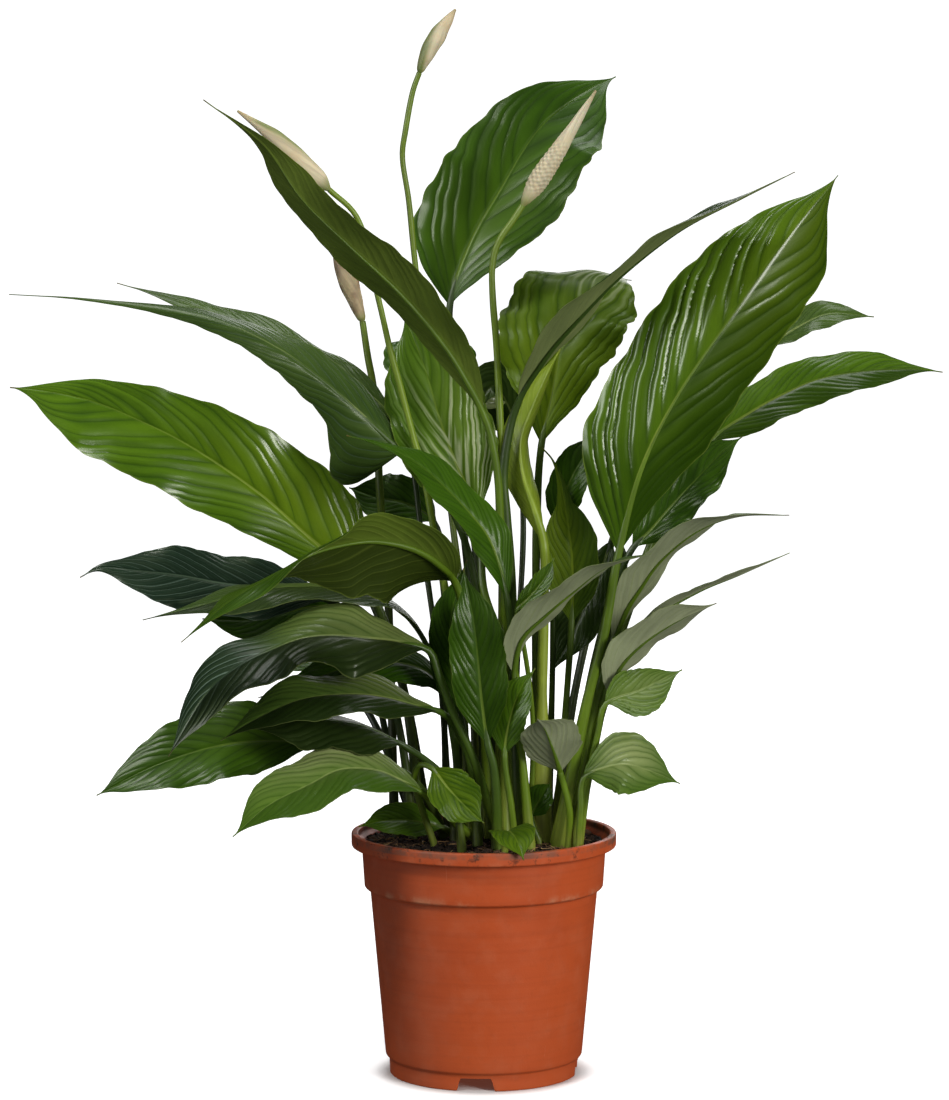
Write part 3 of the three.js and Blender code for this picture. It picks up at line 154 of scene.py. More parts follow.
         stalk=[[-14, -40, 153], [-17, -41, 176], [-25, -40, 197], [-49.5, -36, 216.5]],
         blade=[[-62, -42, 225], [-77.5, -50, 232], [-99, -58, 236.5], [-123, -66, 238],
             [-147.5, -74, 232.5]], faces=[[0.4, 0.3, 0.85], [0.1, 0, 1], [0, -0.3, 0.95]],
         lift=[-38, 10], wave=[1.5, 2.5, 0], halves=[1.1, 0.8], tonesAndPaintedLight=[-1.2, 1.4], paintedShade=[0.7, 0],
         paintedGlow=[0.8, 0.25, 0.8, 0.3]),
    dict(name="leaf_low_left_front", look="pale", width=42, drip=0.05, thick=[2.8, 2.4],
         stalk=[[-4, -15, 153], [-16, -27, 164], [-27, -38, 177], [-37, -46, 187.5]],
         blade=[[-53, -56, 198.5], [-68, -67, 206], [-89.5, -82, 208.5], [-107.5, -96, 201.5],
             [-131.5, -114, 191.5], [-152.5, -135, 175.5]], faces=[[0.1, -0.55, 0.8],
             [-0.1, -0.65, 0.75], [-0.3, -0.8, 0.5]], lift=[8, 12], wave=[1.5, 2.5, 0],
         ends=[[0.38, 0.38], [0.3, 0.38]], pleat=0.8, tonesAndPaintedLight=[-2.2, -0.8], paintedShade=[0.12, 0],
         paintedGlow=[0.8, 0.35, 0.9, 0.3]),
    dict(name="leaf_small_turned_down", look="soft", width=30, drip=0.09, thick=[2, 1.8],
         stalk=[[-32, -26, 153], [-40, -31, 178], [-44, -36, 197], [-40, -43, 205.5], [-33, -47, 204]],
         blade=[[-22, -49, 191], [-10.5, -50, 179], [0, -50, 169.5]], faces=[[0.2, -0.95, 0.25]],
         lift=8, curl=0, wave=[1, 2, 0], pleat=0.5),
    dict(name="leaf_small_left_rim", look="mid", width=24, drip=0.09, thick=[1.8, 1.6],
         stalk=[[-20, 2, 153], [-22, -2, 156.5], [-26, -6, 159.5]],
         blade=[[-36, -9, 162.5], [-50, -11, 165], [-66, -12, 164.5], [-80, -12, 161]],
         faces=[[-0.1, -0.75, 0.65]], lift=8, curl=0, wave=[0.6, 2, 0], pleat=0.5),
    dict(name="leaf_small_over_rim", look="soft", width=27, drip=0.09, thick=[1.8, 1.6],
         stalk=[[13, -46, 153], [13.5, -48, 159], [14, -52, 164]],
         blade=[[16, -66, 167], [20, -79, 164], [24.5, -89, 153]],
         faces=[[-0.1, -0.3, 0.95], [0, -0.6, 0.8]], lift=12, curl=0, wave=[0.6, 2, 0], pleat=0.4),
    dict(name="leaf_small_shaded", look="deep", width=18, drip=0.04, thick=[1.8, 1.6],
         stalk=[[35, -19, 153], [32, -19, 160], [30, -19, 168]],
         blade=[[33, -19, 175], [37.5, -19, 183], [42, -19, 190]], faces=[[-0.3, -0.9, 0.3]], lift=8,
         curl=0, wave=[0.5, 2, 0], pleat=0.4),
    dict(name="leaf_small_folded", look="greyish", width=38, drip=0.09, thick=[2.2, 1.8],
         stalk=[[54, -32, 153], [54, -38, 175], [48, -44, 201]],
         blade=[[42.5, -56, 219], [37.5, -65, 232], [33, -74, 239]],
         faces=[[-0.1, 0.75, 0.65], [-0.1, 0.5, 0.85]], lift=16, curl=0, wave=[1, 2, 0], pleat=0.5),
    dict(name="leaf_centre_upright", look="deep", width=35, drip=0.08, thick=[3, 2.4],
         stalk=[[8, -35, 153], [8, -42, 180], [6, -47, 205], [2.5, -49, 219]],
         blade=[[-1.5, -51, 247.5], [-3.8, -51, 272.5], [-6.4, -51, 297.5], [-10, -49, 316],
             [-13, -47, 330]], faces=[[0, -1, 0.1], [0.1, -1, 0.1]], lift=16, curl=-6, wave=[1.5, 3, 0],
         pleat=[1.1, 0.9], paintedShade=[0.25, 0.45]),
    dict(name="leaf_centre_dark", look="deep", shade=True, width=26, drip=0.1, thick=[2.6, 2],
         stalk=[[-3, -2, 153], [-7, -8, 190], [-14, -12, 231]],
         blade=[[-18.5, -13, 247.5], [-21.5, -14, 273], [-20.5, -15, 299], [-15, -16, 318],
             [-10.8, -17, 332.5]], faces=[[-0.2, -1, 0.1]], curl=0, wave=[1, 2.5, 0], pleat=0.5),
    dict(name="leaf_centre_short", look="mid", width=24, drip=0.09, thick=[2, 1.8],
         stalk=[[20, -37, 153], [17, -42, 180], [13, -45, 212]],
         blade=[[16, -46, 234], [22.5, -46, 253], [32, -45, 267]], faces=[[-0.3, -0.9, 0.35]], curl=0,
         wave=[1, 2, 0], pleat=0.4),
    dict(name="leaf_centre_arch", look="greyish", width=42, drip=0.08, thick=[3, 2.2],
         stalk=[[29, -33, 153], [25, -37, 200], [18.5, -40, 262]],
         blade=[[22.5, -45, 285], [38, -51, 301.5], [56.5, -60, 318], [72, -69, 331], [87, -76, 338],
             [103, -82, 343]], faces=[[-0.7, 0.55, 0.4], [-0.4, 0.35, 0.8], [-0.2, -0.1, 1]], lift=16,
         curl=-6, wave=[1.5, 2.5, 0], pleat=0.4),
    dict(name="leaf_centre_narrow", look="mid", width=13, drip=0.06, thick=[1.7, 1.5],
         stalk=[[29, -10, 153], [31, -16, 230], [24, -28, 285], [20, -31, 301]],
         blade=[[29, -32, 311], [38.5, -31, 323], [44, -30, 335]], faces=[[-0.3, -0.9, 0.35]], lift=12,
         curl=0, wave=[0.5, 2, 0], pleat=0.3),
    dict(name="leaf_unrolling", look="young", width=30, drip=0.06, thick=[6.8, 6.4, 3.4, 3.2, 3],
         stalk=[[36, -4, 153], [36.5, -6, 200], [37, -10, 250], [38, -12, 300], [38, -14, 341]],
         blade=[[32, -12, 363], [24.5, -8, 386], [23, -4, 408], [29.5, 0, 426], [39, 4, 447],
             [48.5, 8, 465]], faces=[[-0.2, 0.95, 0.1]], lift=35, curl=20, wave=[0.8, 2, 0], pleat=0.3),
    dict(name="leaf_centre_glossy", look="mid", width=62, drip=0.06, thick=[3, 2.4],
         stalk=[[20, -12, 153], [23, -18, 220], [19, -24, 262], [8.5, -25, 289], [0, -18, 313],
             [-2, -8, 340], [-3.8, -2, 359]],
         blade=[[-18.5, 2, 394.5], [-28, 6, 420], [-37.6, 12, 452], [-51.5, 22, 487]],
         faces=[[0.05, -1, 0.2], [0.05, -1, 0.3]], lift=12, pleat=1.2, sweep=1.5,
         paintedGlow=[0.3, 0.4, 0.5, 0.4], paintedSheen=[1, 0.35, 0.3, 0.34]),
    dict(name="leaf_centre_left_strap", look="deep", width=32, drip=0.16, thick=[3, 2.2],
         stalk=[[22, -26, 153], [20, -30, 220], [18, -33, 270], [15, -34, 308]],
         blade=[[10, -35, 330], [2.5, -36, 349], [-9, -38, 364], [-23, -40, 379], [-37, -43, 392],
             [-52.5, -46, 402.5], [-68, -50, 409], [-85.5, -54, 414]],
         faces=[[0.35, -0.7, 0.6], [0.1, -0.5, 0.85]], lift=12, curl=-6, wave=[1.5, 3, 0]),
    dict(name="leaf_behind_right_small", look="deep", width=26, drip=0.05, thick=[2.2, 1.8],
         stalk=[[42, 16, 153], [44, 14, 250], [47, 10, 350]],
         blade=[[54, 10, 378], [64.5, 10, 397], [78, 10, 409]], faces=[[-0.2, -0.9, 0.4]], curl=0,
         wave=[1.5, 2, 0], pleat=0.5),
    dict(name="leaf_olive_upright", look="olive", width=34, drip=0.3, thick=[2.4, 2],
         stalk=[[46, 2, 153], [52, 2, 230], [56, 2, 290]],
         blade=[[56.5, 0, 324], [55, 0, 343], [52, 0, 363], [48.5, 0, 382], [43.5, 0, 395],
             [36.5, 0, 403]], faces=[[0, -1, 0.1]], curl=0, wave=[0.8, 2, 0], pleat=0.5, tonesAndPaintedLight=[2, -1],
         paintedGlow=[0.4, 0.5, -0.6, 0.4]),
    dict(name="leaf_striped_hanging", look="dusky", shade=True, width=32, drip=0.1, thick=[2.4, 2],
         stalk=[[56, 22, 153], [74, 35, 240], [88, 41, 305], [91, 40, 330], [84, 36, 340]],
         blade=[[76, 32, 322], [67, 29, 303], [57, 26, 280], [42.5, 22, 254]],
         faces=[[-0.3, -0.9, 0.3], [-0.3, -0.9, 0.2]], curl=-6, wave=[1.5, 3, 0], pleat=0.7),
    dict(name="leaf_right_far", look="dusky", width=24, drip=0.12, thick=[2.6, 2],
         stalk=[[56, 34, 153], [84, 48, 260], [122, 64, 360], [158, 76, 430], [187, 80, 463]],
         blade=[[207, 81, 477], [226, 82, 485], [256, 83, 483]],
         faces=[[-0.2, -0.6, 0.8], [-0.1, -0.7, 0.7]], curl=-6, wave=[1.5, 2.5, 0]),
    dict(name="leaf_right_long", look="mid", width=35, drip=0.08, thick=[3, 2.2],
         stalk=[[60, 10, 153], [80, 14, 250], [108, 28, 340], [143.5, 45, 401]],
         blade=[[172.5, 50, 422], [199, 54, 436], [218, 57, 443.5], [251, 62, 448.5], [287.5, 66, 449],
             [299.5, 68, 447.5]], faces=[[-0.1, -0.8, 0.65], [0, -0.8, 0.6]],
         ends=[[0.3, 0.38], [0.3, 0.45]], pleat=0.7, tonesAndPaintedLight=[0.6, -1.6], paintedShade=[0, 0.25]),
    dict(name="leaf_right_wavy", look="deep", width=44, drip=0.06, thick=[2.8, 2.2],
         stalk=[[52, 6, 153], [64, 7, 230], [80, 9, 300], [95, 12, 337]],
         blade=[[106.5, 14, 348.5], [120.5, 17, 364.5], [138.5, 20, 383.5], [153, 23, 398],
             [166, 26, 408]], faces=[[-0.2, -0.9, 0.4]], wave=[4, 3.5, 0], halves=[1, 0.7], pleat=0.8),
    dict(name="leaf_right_arch_under", look="greyish", width=44, drip=0.1, thick=[3, 2.2],
         stalk=[[53, -8, 153], [62, -8, 200], [72, -9, 245], [81.5, -11, 278]],
         blade=[[89, -15, 299.5], [98.5, -21, 315.5], [110.5, -28, 333], [135, -40, 354],
             [159, -48, 363], [190, -55, 364.5]],
         faces=[[-0.6, 0.5, 0.6], [-0.4, 0.35, 0.85], [-0.1, 0, 1]], lift=14, curl=-6, wave=[1.5, 3, 0],
         pleat=0.5),
    dict(name="leaf_right_edge_on", look="greyish", width=28, drip=0.1, thick=[2.6, 2],
         stalk=[[60, 0, 153], [67, -2, 200], [76, -5, 245], [84.5, -6, 273.5]],
         blade=[[105.5, -4, 293.5], [137.5, -2, 311.5], [163, 0, 321.5], [195, 2, 335.5]],
         faces=[[-0.5, 0.2, 0.8], [-0.4, 0.1, 0.9]], lift=14, curl=-4, wave=[1, 2.5, 0], pleat=0.5),
    dict(name="leaf_right_low_under", look="greyish", width=42, drip=0.06, thick=[2.6, 2],
         stalk=[[57, -15, 153], [64, -18, 190], [71, -21, 220], [78.5, -25, 247.5]],
         blade=[[86, -29, 266.5], [101, -32, 282], [123, -35, 296.5], [146, -38, 307.5]],
         faces=[[-0.6, 0.6, 0.5], [-0.45, 0.5, 0.75]], lift=14, curl=-4, wave=[1.2, 2.5, 0], pleat=0.5),
    dict(name="leaf_right_small_upper", look="pale", width=30, drip=0.1, thick=[2, 1.8],
         stalk=[[61, -26, 153], [67, -31, 200], [72, -34, 225], [76.5, -36, 243]],
         blade=[[98, -40, 252.5], [110.5, -42, 259], [124.5, -44, 266]], faces=[[-0.1, -0.9, 0.4]],
         lift=8, curl=0, wave=[1, 2, 0], ends=[[0.34, 0.66], [0.5, 0.5]], halves=[1, 1.2], pleat=1.2,
         paintedGlow=[0.3, 0.5, 0, 0.5]),
    dict(name="leaf_right_small_lower", look="pale", width=49, drip=0.1, thick=[2, 1.8],
         stalk=[[60, -38, 153], [61, -40, 175], [63, -41, 197]],
         blade=[[76, -46, 204.5], [88.5, -50, 207], [104, -55, 203.5], [122.5, -61, 196.5]],
         faces=[[0, -0.8, 0.6]], lift=8, curl=0, wave=[1, 2, 0], ends=[[0.54, 0.72], [0.58, 0.5]],
         pleat=1.2, tonesAndPaintedLight=[-1.2, -0.4], paintedGlow=[0.7, 0.45, -0.3, 0.3]),
    dict(name="leaf_left_bluish", look="bluish", shade=True, width=46, drip=0.1, thick=[2.8, 2.2],
         stalk=[[-46, 2, 153], [-52, 3, 210], [-64, 4, 260], [-80, 3, 290], [-98, -2, 305]],
         blade=[[-117, -4, 310.5], [-164.5, -8, 316.5], [-193, -10, 322], [-218.5, -11, 325],
             [-244, -12, 327], [-256.5, -12, 321]], faces=[[-0.1, -0.8, 0.5], [-0.1, -0.85, 0.5]],
         lift=8, curl=-6, wave=[2.5, 3, 0], halves=[1, 0.85], pleat=0.8),
    dict(name="leaf_shade_upright", look="deep", shade=True, width=24, drip=0.05, thick=[2.2, 1.8],
         stalk=[[-22, 19, 153], [-28, 30, 250], [-40, 40, 340], [-46, 44, 388]],
         blade=[[-50.5, 45, 407], [-55, 45, 427], [-53.5, 45, 446]], faces=[[0, -1, 0.2]], lift=8,
         curl=0, wave=[1, 2, 0], pleat=0.5),
    dict(name="leaf_shade_striped", look="dusky", shade=True, width=34, drip=0.05, thick=[2.2, 1.8],
         stalk=[[20, 44, 153], [22, 60, 260], [26, 76, 350], [22, 82, 398]],
         blade=[[16, 82, 425], [6, 80, 438], [-6, 76, 420]], faces=[[0, -1, 0.2], [0, -1, 0.4]], lift=8,
         curl=0, wave=[1, 2, 0]),
    dict(name="leaf_shade_level", look="deep", shade=True, width=34, drip=0.05, thick=[2.2, 1.8],
         stalk=[[-24, 32, 153], [-26, 46, 240], [-26, 54, 320], [-32, 56, 350]],
         blade=[[-50, 60, 362], [-70, 64, 366], [-88, 66, 372]], faces=[[0, -0.9, 0.4]], lift=8, curl=0,
         wave=[1, 2, 0], pleat=0.5),
    dict(name="leaf_back_left", look="mid", width=60, drip=0.05, thick=[3, 2.2],
         stalk=[[-36, 34, 153], [-52, 50, 240], [-80, 72, 310], [-112, 92, 352]],
         blade=[[-142, 110, 374], [-172, 128, 388], [-205, 148, 392]],
         faces=[[0.3, -0.5, 0.8], [0, 0, 1]], pleat=0.7),
    dict(name="leaf_back_high", look="deep", width=62, drip=0.05, thick=[3, 2.2],
         stalk=[[-2, 46, 153], [-6, 58, 260], [-14, 74, 350], [-24, 90, 410]],
         blade=[[-32, 108, 442], [-40, 128, 462], [-46, 150, 468]],
         faces=[[0.1, -0.7, 0.7], [0, -0.2, 1]]),
    dict(name="leaf_back_right", look="mid", width=60, drip=0.05, thick=[3, 2.2],
         stalk=[[46, 42, 153], [62, 58, 250], [86, 80, 340], [112, 96, 400]],
         blade=[[134, 112, 436], [152, 129, 460], [172, 150, 472]],
         faces=[[-0.3, -0.6, 0.7], [-0.1, -0.2, 1]], pleat=0.7),
    dict(name="leaf_back_low", look="mid", width=54, drip=0.05, thick=[2.8, 2.2],
         stalk=[[10, 54, 153], [10, 66, 200], [8, 82, 240], [4, 98, 262]],
         blade=[[2, 116, 273], [0, 134, 272], [-2, 150, 260]], faces=[[0, -0.6, 0.8], [0, 0.2, 1]]),
    dict(name="leaf_back_low_left", look="deep", width=50, drip=0.05, thick=[2.8, 2.2],
         stalk=[[-44, 26, 153], [-58, 40, 190], [-76, 56, 226], [-94, 70, 246]],
         blade=[[-118, 86, 258], [-144, 104, 258], [-172, 122, 244]],
         faces=[[0.3, -0.5, 0.8], [0, 0.1, 1]]),
]

# What a leaf has where its row doesn't say otherwise.
usualLeaf = dict(
    lift=10, curl=-8, wave=[2, 3, 0], ends=[[0.38, 0.38], [0.38, 0.38]], halves=1, pleat=0.6, paintedShade=0,
    nick=0.02, sweep=1, dusk=[2, 3, 0], paintedGlow=[0, 0.2, 0, 0.3], paintedSheen=[0, 0.2, 0, 0.3])

# Each flower: its stalk, the spathe's midline that starts where the stalk ends, and the spathe's
# radii along it (swell). seam: where the outer edge starts, as a part of a turn. stripe: where the
# green line runs, none at 0. knobs: how far the spadix inside presses through.
flowers = [
    dict(name="top", thick=[2.6, 2, 1.8],
         stalk=[[-4, 14, 153], [-8, 20, 250], [-20, 32, 350], [-31, 36, 430], [-38, 34, 478],
             [-43.5, 30, 514.5], [-48, 26, 559], [-52, 24, 588], [-50, 22, 603], [-45, 21, 629],
             [-41, 20, 640]],
         spathe=[[-36, 20, 652], [-29, 21, 664], [-18, 22, 680]], swell=[2, 4.6, 5.6, 4, 0.7], seam=0.3,
         stripe=0.76, knobs=0, cream=(230, 214, 178), blush=(214, 190, 150)),
    dict(name="left", thick=[2.6, 2.2, 1.8],
         stalk=[[-10, -6, 153], [-14, -4, 250], [-22, -6, 300], [-30, -8, 340], [-37.5, -8, 382],
             [-45.5, -8, 413], [-53, -9, 442], [-59, -10, 464], [-66, -12, 495], [-80, -16, 549],
             [-97, -20, 566]],
         spathe=[[-112, -22, 581], [-130, -24, 598], [-154, -26, 615]], swell=[2.4, 6, 5.6, 3.4, 0.7],
         seam=0.05, stripe=0.62, knobs=0, cream=(232, 214, 178), blush=(222, 196, 154)),
    dict(name="left_low", thick=[2.8, 2.6, 2.2],
         stalk=[[-58, 30, 153], [-60, 36, 240], [-62, 42, 300], [-66.5, 47, 357], [-68, 50, 380],
             [-69, 52, 412], [-72, 54, 441], [-75, 54, 457], [-78.5, 53, 481]],
         spathe=[[-87, 51, 505], [-93, 49, 522], [-98, 47, 536]], swell=[2.4, 5, 6.4, 4.4, 0.8],
         seam=0.6, stripe=0, knobs=0.15, cream=(204, 182, 142), blush=(132, 104, 80)),
    dict(name="right", thick=[3.2, 2.4, 2],
         stalk=[[10, 14, 153], [11, 12, 250], [12, 10, 330], [11.5, 8, 388], [10.3, 8, 420],
             [7.7, 8, 471], [5.7, 8, 496], [5.2, 8, 515], [7, 8, 527], [11.5, 8, 537], [18, 9, 546],
             [24.5, 10, 556]],
         spathe=[[35.6, 11, 573], [51.3, 13, 597], [71, 14, 628.6]], swell=[2.4, 6.2, 5, 3, 0.7],
         seam=0.15, stripe=0, knobs=1, cream=(232, 218, 184), blush=(224, 204, 164)),
]

# The pot's outline in the CAD part, from the middle of its underside over the lip to its floor.
potOutline = [
    [0, 8.5], [58, 8.5], [58, 0], [60.7, 0], [61, 10.5], [63.2, 12], [63.7, 17], [72.8, 117.6],
    [73.2, 119.8], [76.6, 121.2], [78.3, 147], [84.9, 147.6], [85, 156], [80.7, 156], [80.2, 152.2],
    [77, 149.6], [76.4, 144.5], [74.8, 122], [70.8, 117.5], [61.7, 17], [60.8, 10.5], [0, 10.5]]
notch = {"count": 4, "width": 25, "roof": 8.5, "taper": 3, "turn": -5}
soilHeight = 149
soilRadius = 76.3

# Colours of the leaves, as eight-bit display values. top and light: the upper side at its veins and
# between them, the lighter one also painted light on the bulges between the veins. under: the lower
# side. paintedGlow: painted light where light shines through or falls. rib: the midrib. vein: fine
# veins. rough: roughness of the upper and lower side. coat: how strong the waxy gloss is. The bluish
# look is painted shade with a bluish reflection, its pale veins partly painted highlight streaks.
leafLooks = {
    "bright": dict(top=(51, 84, 6), light=(89, 126, 16), under=(92, 112, 38), paintedGlow=(128, 152, 24),
        rib=(150, 168, 72), vein=(32, 60, 6), rough=(0.36, 0.5), coat=0.8),
    "mid": dict(top=(47, 76, 8), light=(78, 112, 18), under=(92, 112, 36), paintedGlow=(112, 140, 20),
        rib=(134, 152, 60), vein=(30, 54, 8), rough=(0.4, 0.5), coat=0.3),
    "deep": dict(top=(34, 62, 8), light=(59, 94, 14), under=(76, 98, 28), paintedGlow=(84, 116, 16),
        rib=(112, 134, 52), vein=(20, 42, 6), rough=(0.4, 0.5), coat=0.25),
    "dusky": dict(top=(42, 64, 20), light=(68, 92, 34), under=(122, 134, 82), paintedGlow=(122, 134, 76),
        rib=(138, 152, 84), vein=(30, 50, 16), rough=(0.42, 0.55), coat=0.3),
    "soft": dict(top=(47, 76, 8), light=(93, 120, 18), under=(92, 112, 36), paintedGlow=(122, 148, 20),
        rib=(134, 152, 60), vein=(30, 54, 8), rough=(0.46, 0.5), coat=0.08),
    "olive": dict(top=(46, 68, 12), light=(74, 98, 22), under=(124, 146, 56), paintedGlow=(140, 164, 30),
        rib=(120, 138, 44), vein=(36, 56, 12), rough=(0.42, 0.52), coat=0.1),
    "greyish": dict(top=(64, 88, 38), light=(96, 116, 68), under=(168, 176, 138), paintedGlow=(130, 146, 70),
        rib=(140, 154, 86), vein=(50, 72, 28), rough=(0.46, 0.58), coat=0.06),
    "bluish": dict(top=(22, 40, 30), light=(36, 58, 44), under=(62, 84, 60), paintedGlow=(60, 90, 60),
        rib=(112, 134, 110), vein=(112, 136, 122), rough=(0.4, 0.5), coat=0.5),
    "pale": dict(top=(64, 96, 24), light=(94, 124, 42), under=(112, 132, 68), paintedGlow=(168, 178, 118),
        rib=(158, 174, 104), vein=(56, 82, 24), rough=(0.42, 0.55), coat=0.2),
    "young": dict(top=(96, 126, 20), light=(130, 156, 38), under=(138, 160, 46), paintedGlow=(150, 170, 50),
        rib=(176, 190, 84), vein=(98, 126, 30), rough=(0.4, 0.46), coat=0.15),
}


# A leaf's row with the usual values added, and a number that stands for both halves given twice.
def filledRow(leaf):
    leaf = {**usualLeaf, **leaf}
    for name in ("lift", "curl", "halves", "pleat", "tonesAndPaintedLight", "paintedShade"):
        if name in leaf and not isinstance(leaf[name], list):
            leaf[name] = [leaf[name]] * 2
    return leaf


leaves = [filledRow(leaf) for leaf in leaves]
seeds = dict(leaf=100, leafStep=7, flowerStalk=700, spathe=720, peat=41)


# A colour for a socket from eight-bit display values.
def display(*levels):
    return tuple(linear(level / 255) for level in levels) + (1,)


# The light that a display value stands for: a straight line near black, then a power of 2.4.
def linear(value):
    return value / 12.92 if value <= 0.04045 else ((value + 0.055) / 1.055) ** 2.4


# A colour made darker or lighter by a factor, up to white.
def shaded(levels, factor):
    return display(*[min(255, level * factor) for level in levels])


# Curves and grids are worked out in millimetres.

# A smooth curve through the given points: over each span a cubic whose end slopes come from the
# neighbouring points, each weighted by the square root of its distance.
def smoothCurve(points, spanSteps=24):
    places = np.array(points, float)
    places = np.vstack([2 * places[0] - places[1], places, 2 * places[-1] - places[-2]])
    part = np.arange(spanSteps)[:, None] / spanSteps
    rows = []
    for index in range(1, len(places) - 2):
        before, start, end, after = places[index - 1:index + 3]
        first = np.linalg.norm(start - before) ** 0.5
        middle = np.linalg.norm(end - start) ** 0.5
        last = np.linalg.norm(after - end) ** 0.5
        chord = (end - start) / middle
        leave = (start - before) / first - (end - before) / (first + middle) + chord
        arrive = chord - (after - start) / (middle + last) + (after - end) / last
        leave, arrive = leave * middle, arrive * middle
        rows.append(start + leave * part
                    + (3 * (end - start) - 2 * leave - arrive) * part ** 2
                    + (2 * (start - end) + leave + arrive) * part ** 3)
    rows.append(places[-2][None])
    return np.vstack(rows)


# The same curve walked by its length, with its direction over a short reach on either side.
class Walk:
    def __init__(self, points, spanSteps=24):
        self.dense = smoothCurve(points, spanSteps)
        steps = np.linalg.norm(np.diff(self.dense, axis=0), axis=1)
        self.lengths = np.concatenate([[0], np.cumsum(steps)])
        self.total = self.lengths[-1]
        self.spanSteps = spanSteps

    def at(self, length):
        return np.stack([np.interp(length, self.lengths, self.dense[:, axis]) for axis in range(3)], -1)

    def tangent(self, length, reach=3.0):
        ahead = self.at(np.minimum(self.total, length + reach))
        return unit(ahead - self.at(np.maximum(0, length - reach)))

    def lengthAt(self, pointIndex):
        return self.lengths[pointIndex * self.spanSteps]


# Vectors divided by their lengths.
def unit(vectors):
    return vectors / np.maximum(1e-9, np.linalg.norm(vectors, axis=-1, keepdims=True))


# The vectors made square to the tangents.
def squared(vectors, tangents):
    return unit(vectors - tangents * (vectors * tangents).sum(-1, keepdims=True))


# Values along evenly spaced samples, which may be numbers or vectors.
def sampled(samples, part):
    samples = np.array(samples, float)
    places = np.linspace(0, 1, len(samples))
    if samples.ndim == 1:
        return np.interp(part, places, samples)
    return np.stack([np.interp(part, places, samples[:, axis]) for axis in range(3)], -1)


# 0 below the start, 1 above the end, and 3x² - 2x³ between them.
def smoothStep(start, end, value):
    part = np.clip((value - start) / (end - start), 0, 1)
    return part * part * (3 - 2 * part)


# A quarter sine wave that rises from 0 to 1 over a span.
def rise(distance, span):
    return np.sin(np.pi / 2 * np.clip(distance / span, 0, 1))


# 1 at the middle, less with the distance from it: e to the power of minus its square over the reach.
def bell(distance, reach):
    return np.exp(-(distance / reach) ** 2)


# Evenly spaced angles of a full turn.
def turnsOf(count):
    return np.arange(count) * 2 * np.pi / count


# Collects grids of points into one mesh, with their faces, materials and point attributes.
class Builder:
    def __init__(self):
        self.points, self.faces, self.looks, self.extras = [], [], [], {}
        self.count = 0

    def add(self, grid, look=0, closed=False, flipped=False, **attributes):
        rows, columns = grid.shape[:2]
        row = np.arange(rows - 1)[:, None] * columns + self.count
        column = np.arange(columns if closed else columns - 1)[None, :]
        beside = (column + 1) % columns
        corners = [row + column, row + beside, row + columns + beside, row + columns + column]
        self.addFaces(np.stack(corners, -1).reshape(-1, 4), look, flipped)
        self.points.append(grid.reshape(-1, 3))
        for name, values in attributes.items():
            full = np.broadcast_to(values, (rows, columns)).reshape(-1)
            self.extras.setdefault(name, []).append((self.count, full))
        self.count += rows * columns
        return self.count - rows * columns

    def addFaces(self, quads, look=0, flipped=False):
        self.faces.append(quads[:, ::-1] if flipped else quads)
        self.looks.append(np.full(len(quads), look))

    # Faces between two rows of points, given by their first points, the step to the next and a count.
    def join(self, first, second, step, count, flipped=False):
        at = np.arange(count - 1) * step
        self.addFaces(np.stack([first + at, first + at + step, second + at + step, second + at], 1),
                      0, flipped)

    def build(self, name, materials, sharpAngle=55):
        mesh = bpy.data.meshes.new(name)
        mesh.from_pydata(np.vstack(self.points) * 0.001, [], np.vstack(self.faces).tolist())
        for material in materials:
            mesh.materials.append(material)
        mesh.polygons.foreach_set("material_index", np.concatenate(self.looks).astype(np.int32))
        mesh.polygons.foreach_set("use_smooth", np.ones(len(mesh.polygons), bool))
        for label, pieces in self.extras.items():
            values = np.zeros(self.count, np.float32)
            for start, part in pieces:
                values[start:start + len(part)] = part
            mesh.attributes.new(label, "FLOAT", "POINT").data.foreach_set("value", values)
        mesh.update()
        mesh.set_sharp_from_angle(angle=math.radians(sharpAngle))
        made = bpy.data.objects.new(name, mesh)
        bpy.context.scene.collection.objects.link(made)
        return made


# Rings along a path, as wide as the radii and squeezed by a factor the way that the faces look. The
# groove is a dent on that side, as deep as this part of the radius, and a bell curve of the angle.
def tubeGrid(centres, tangents, faces, radii, count, squeeze=1.0, groove=0.0):
    across = np.cross(tangents, faces)
    angle = turnsOf(count)
    dent = 1 - groove * bell(angle - np.pi / 2, 0.5)
    wide = (np.cos(angle) * dent)[None, :, None] * across[:, None]
    deep = (np.sin(angle) * dent)[None, :, None] * faces[:, None] * np.reshape(squeeze, (-1, 1, 1))
    return centres[:, None] + (wide + deep) * np.reshape(radii, (-1, 1, 1))


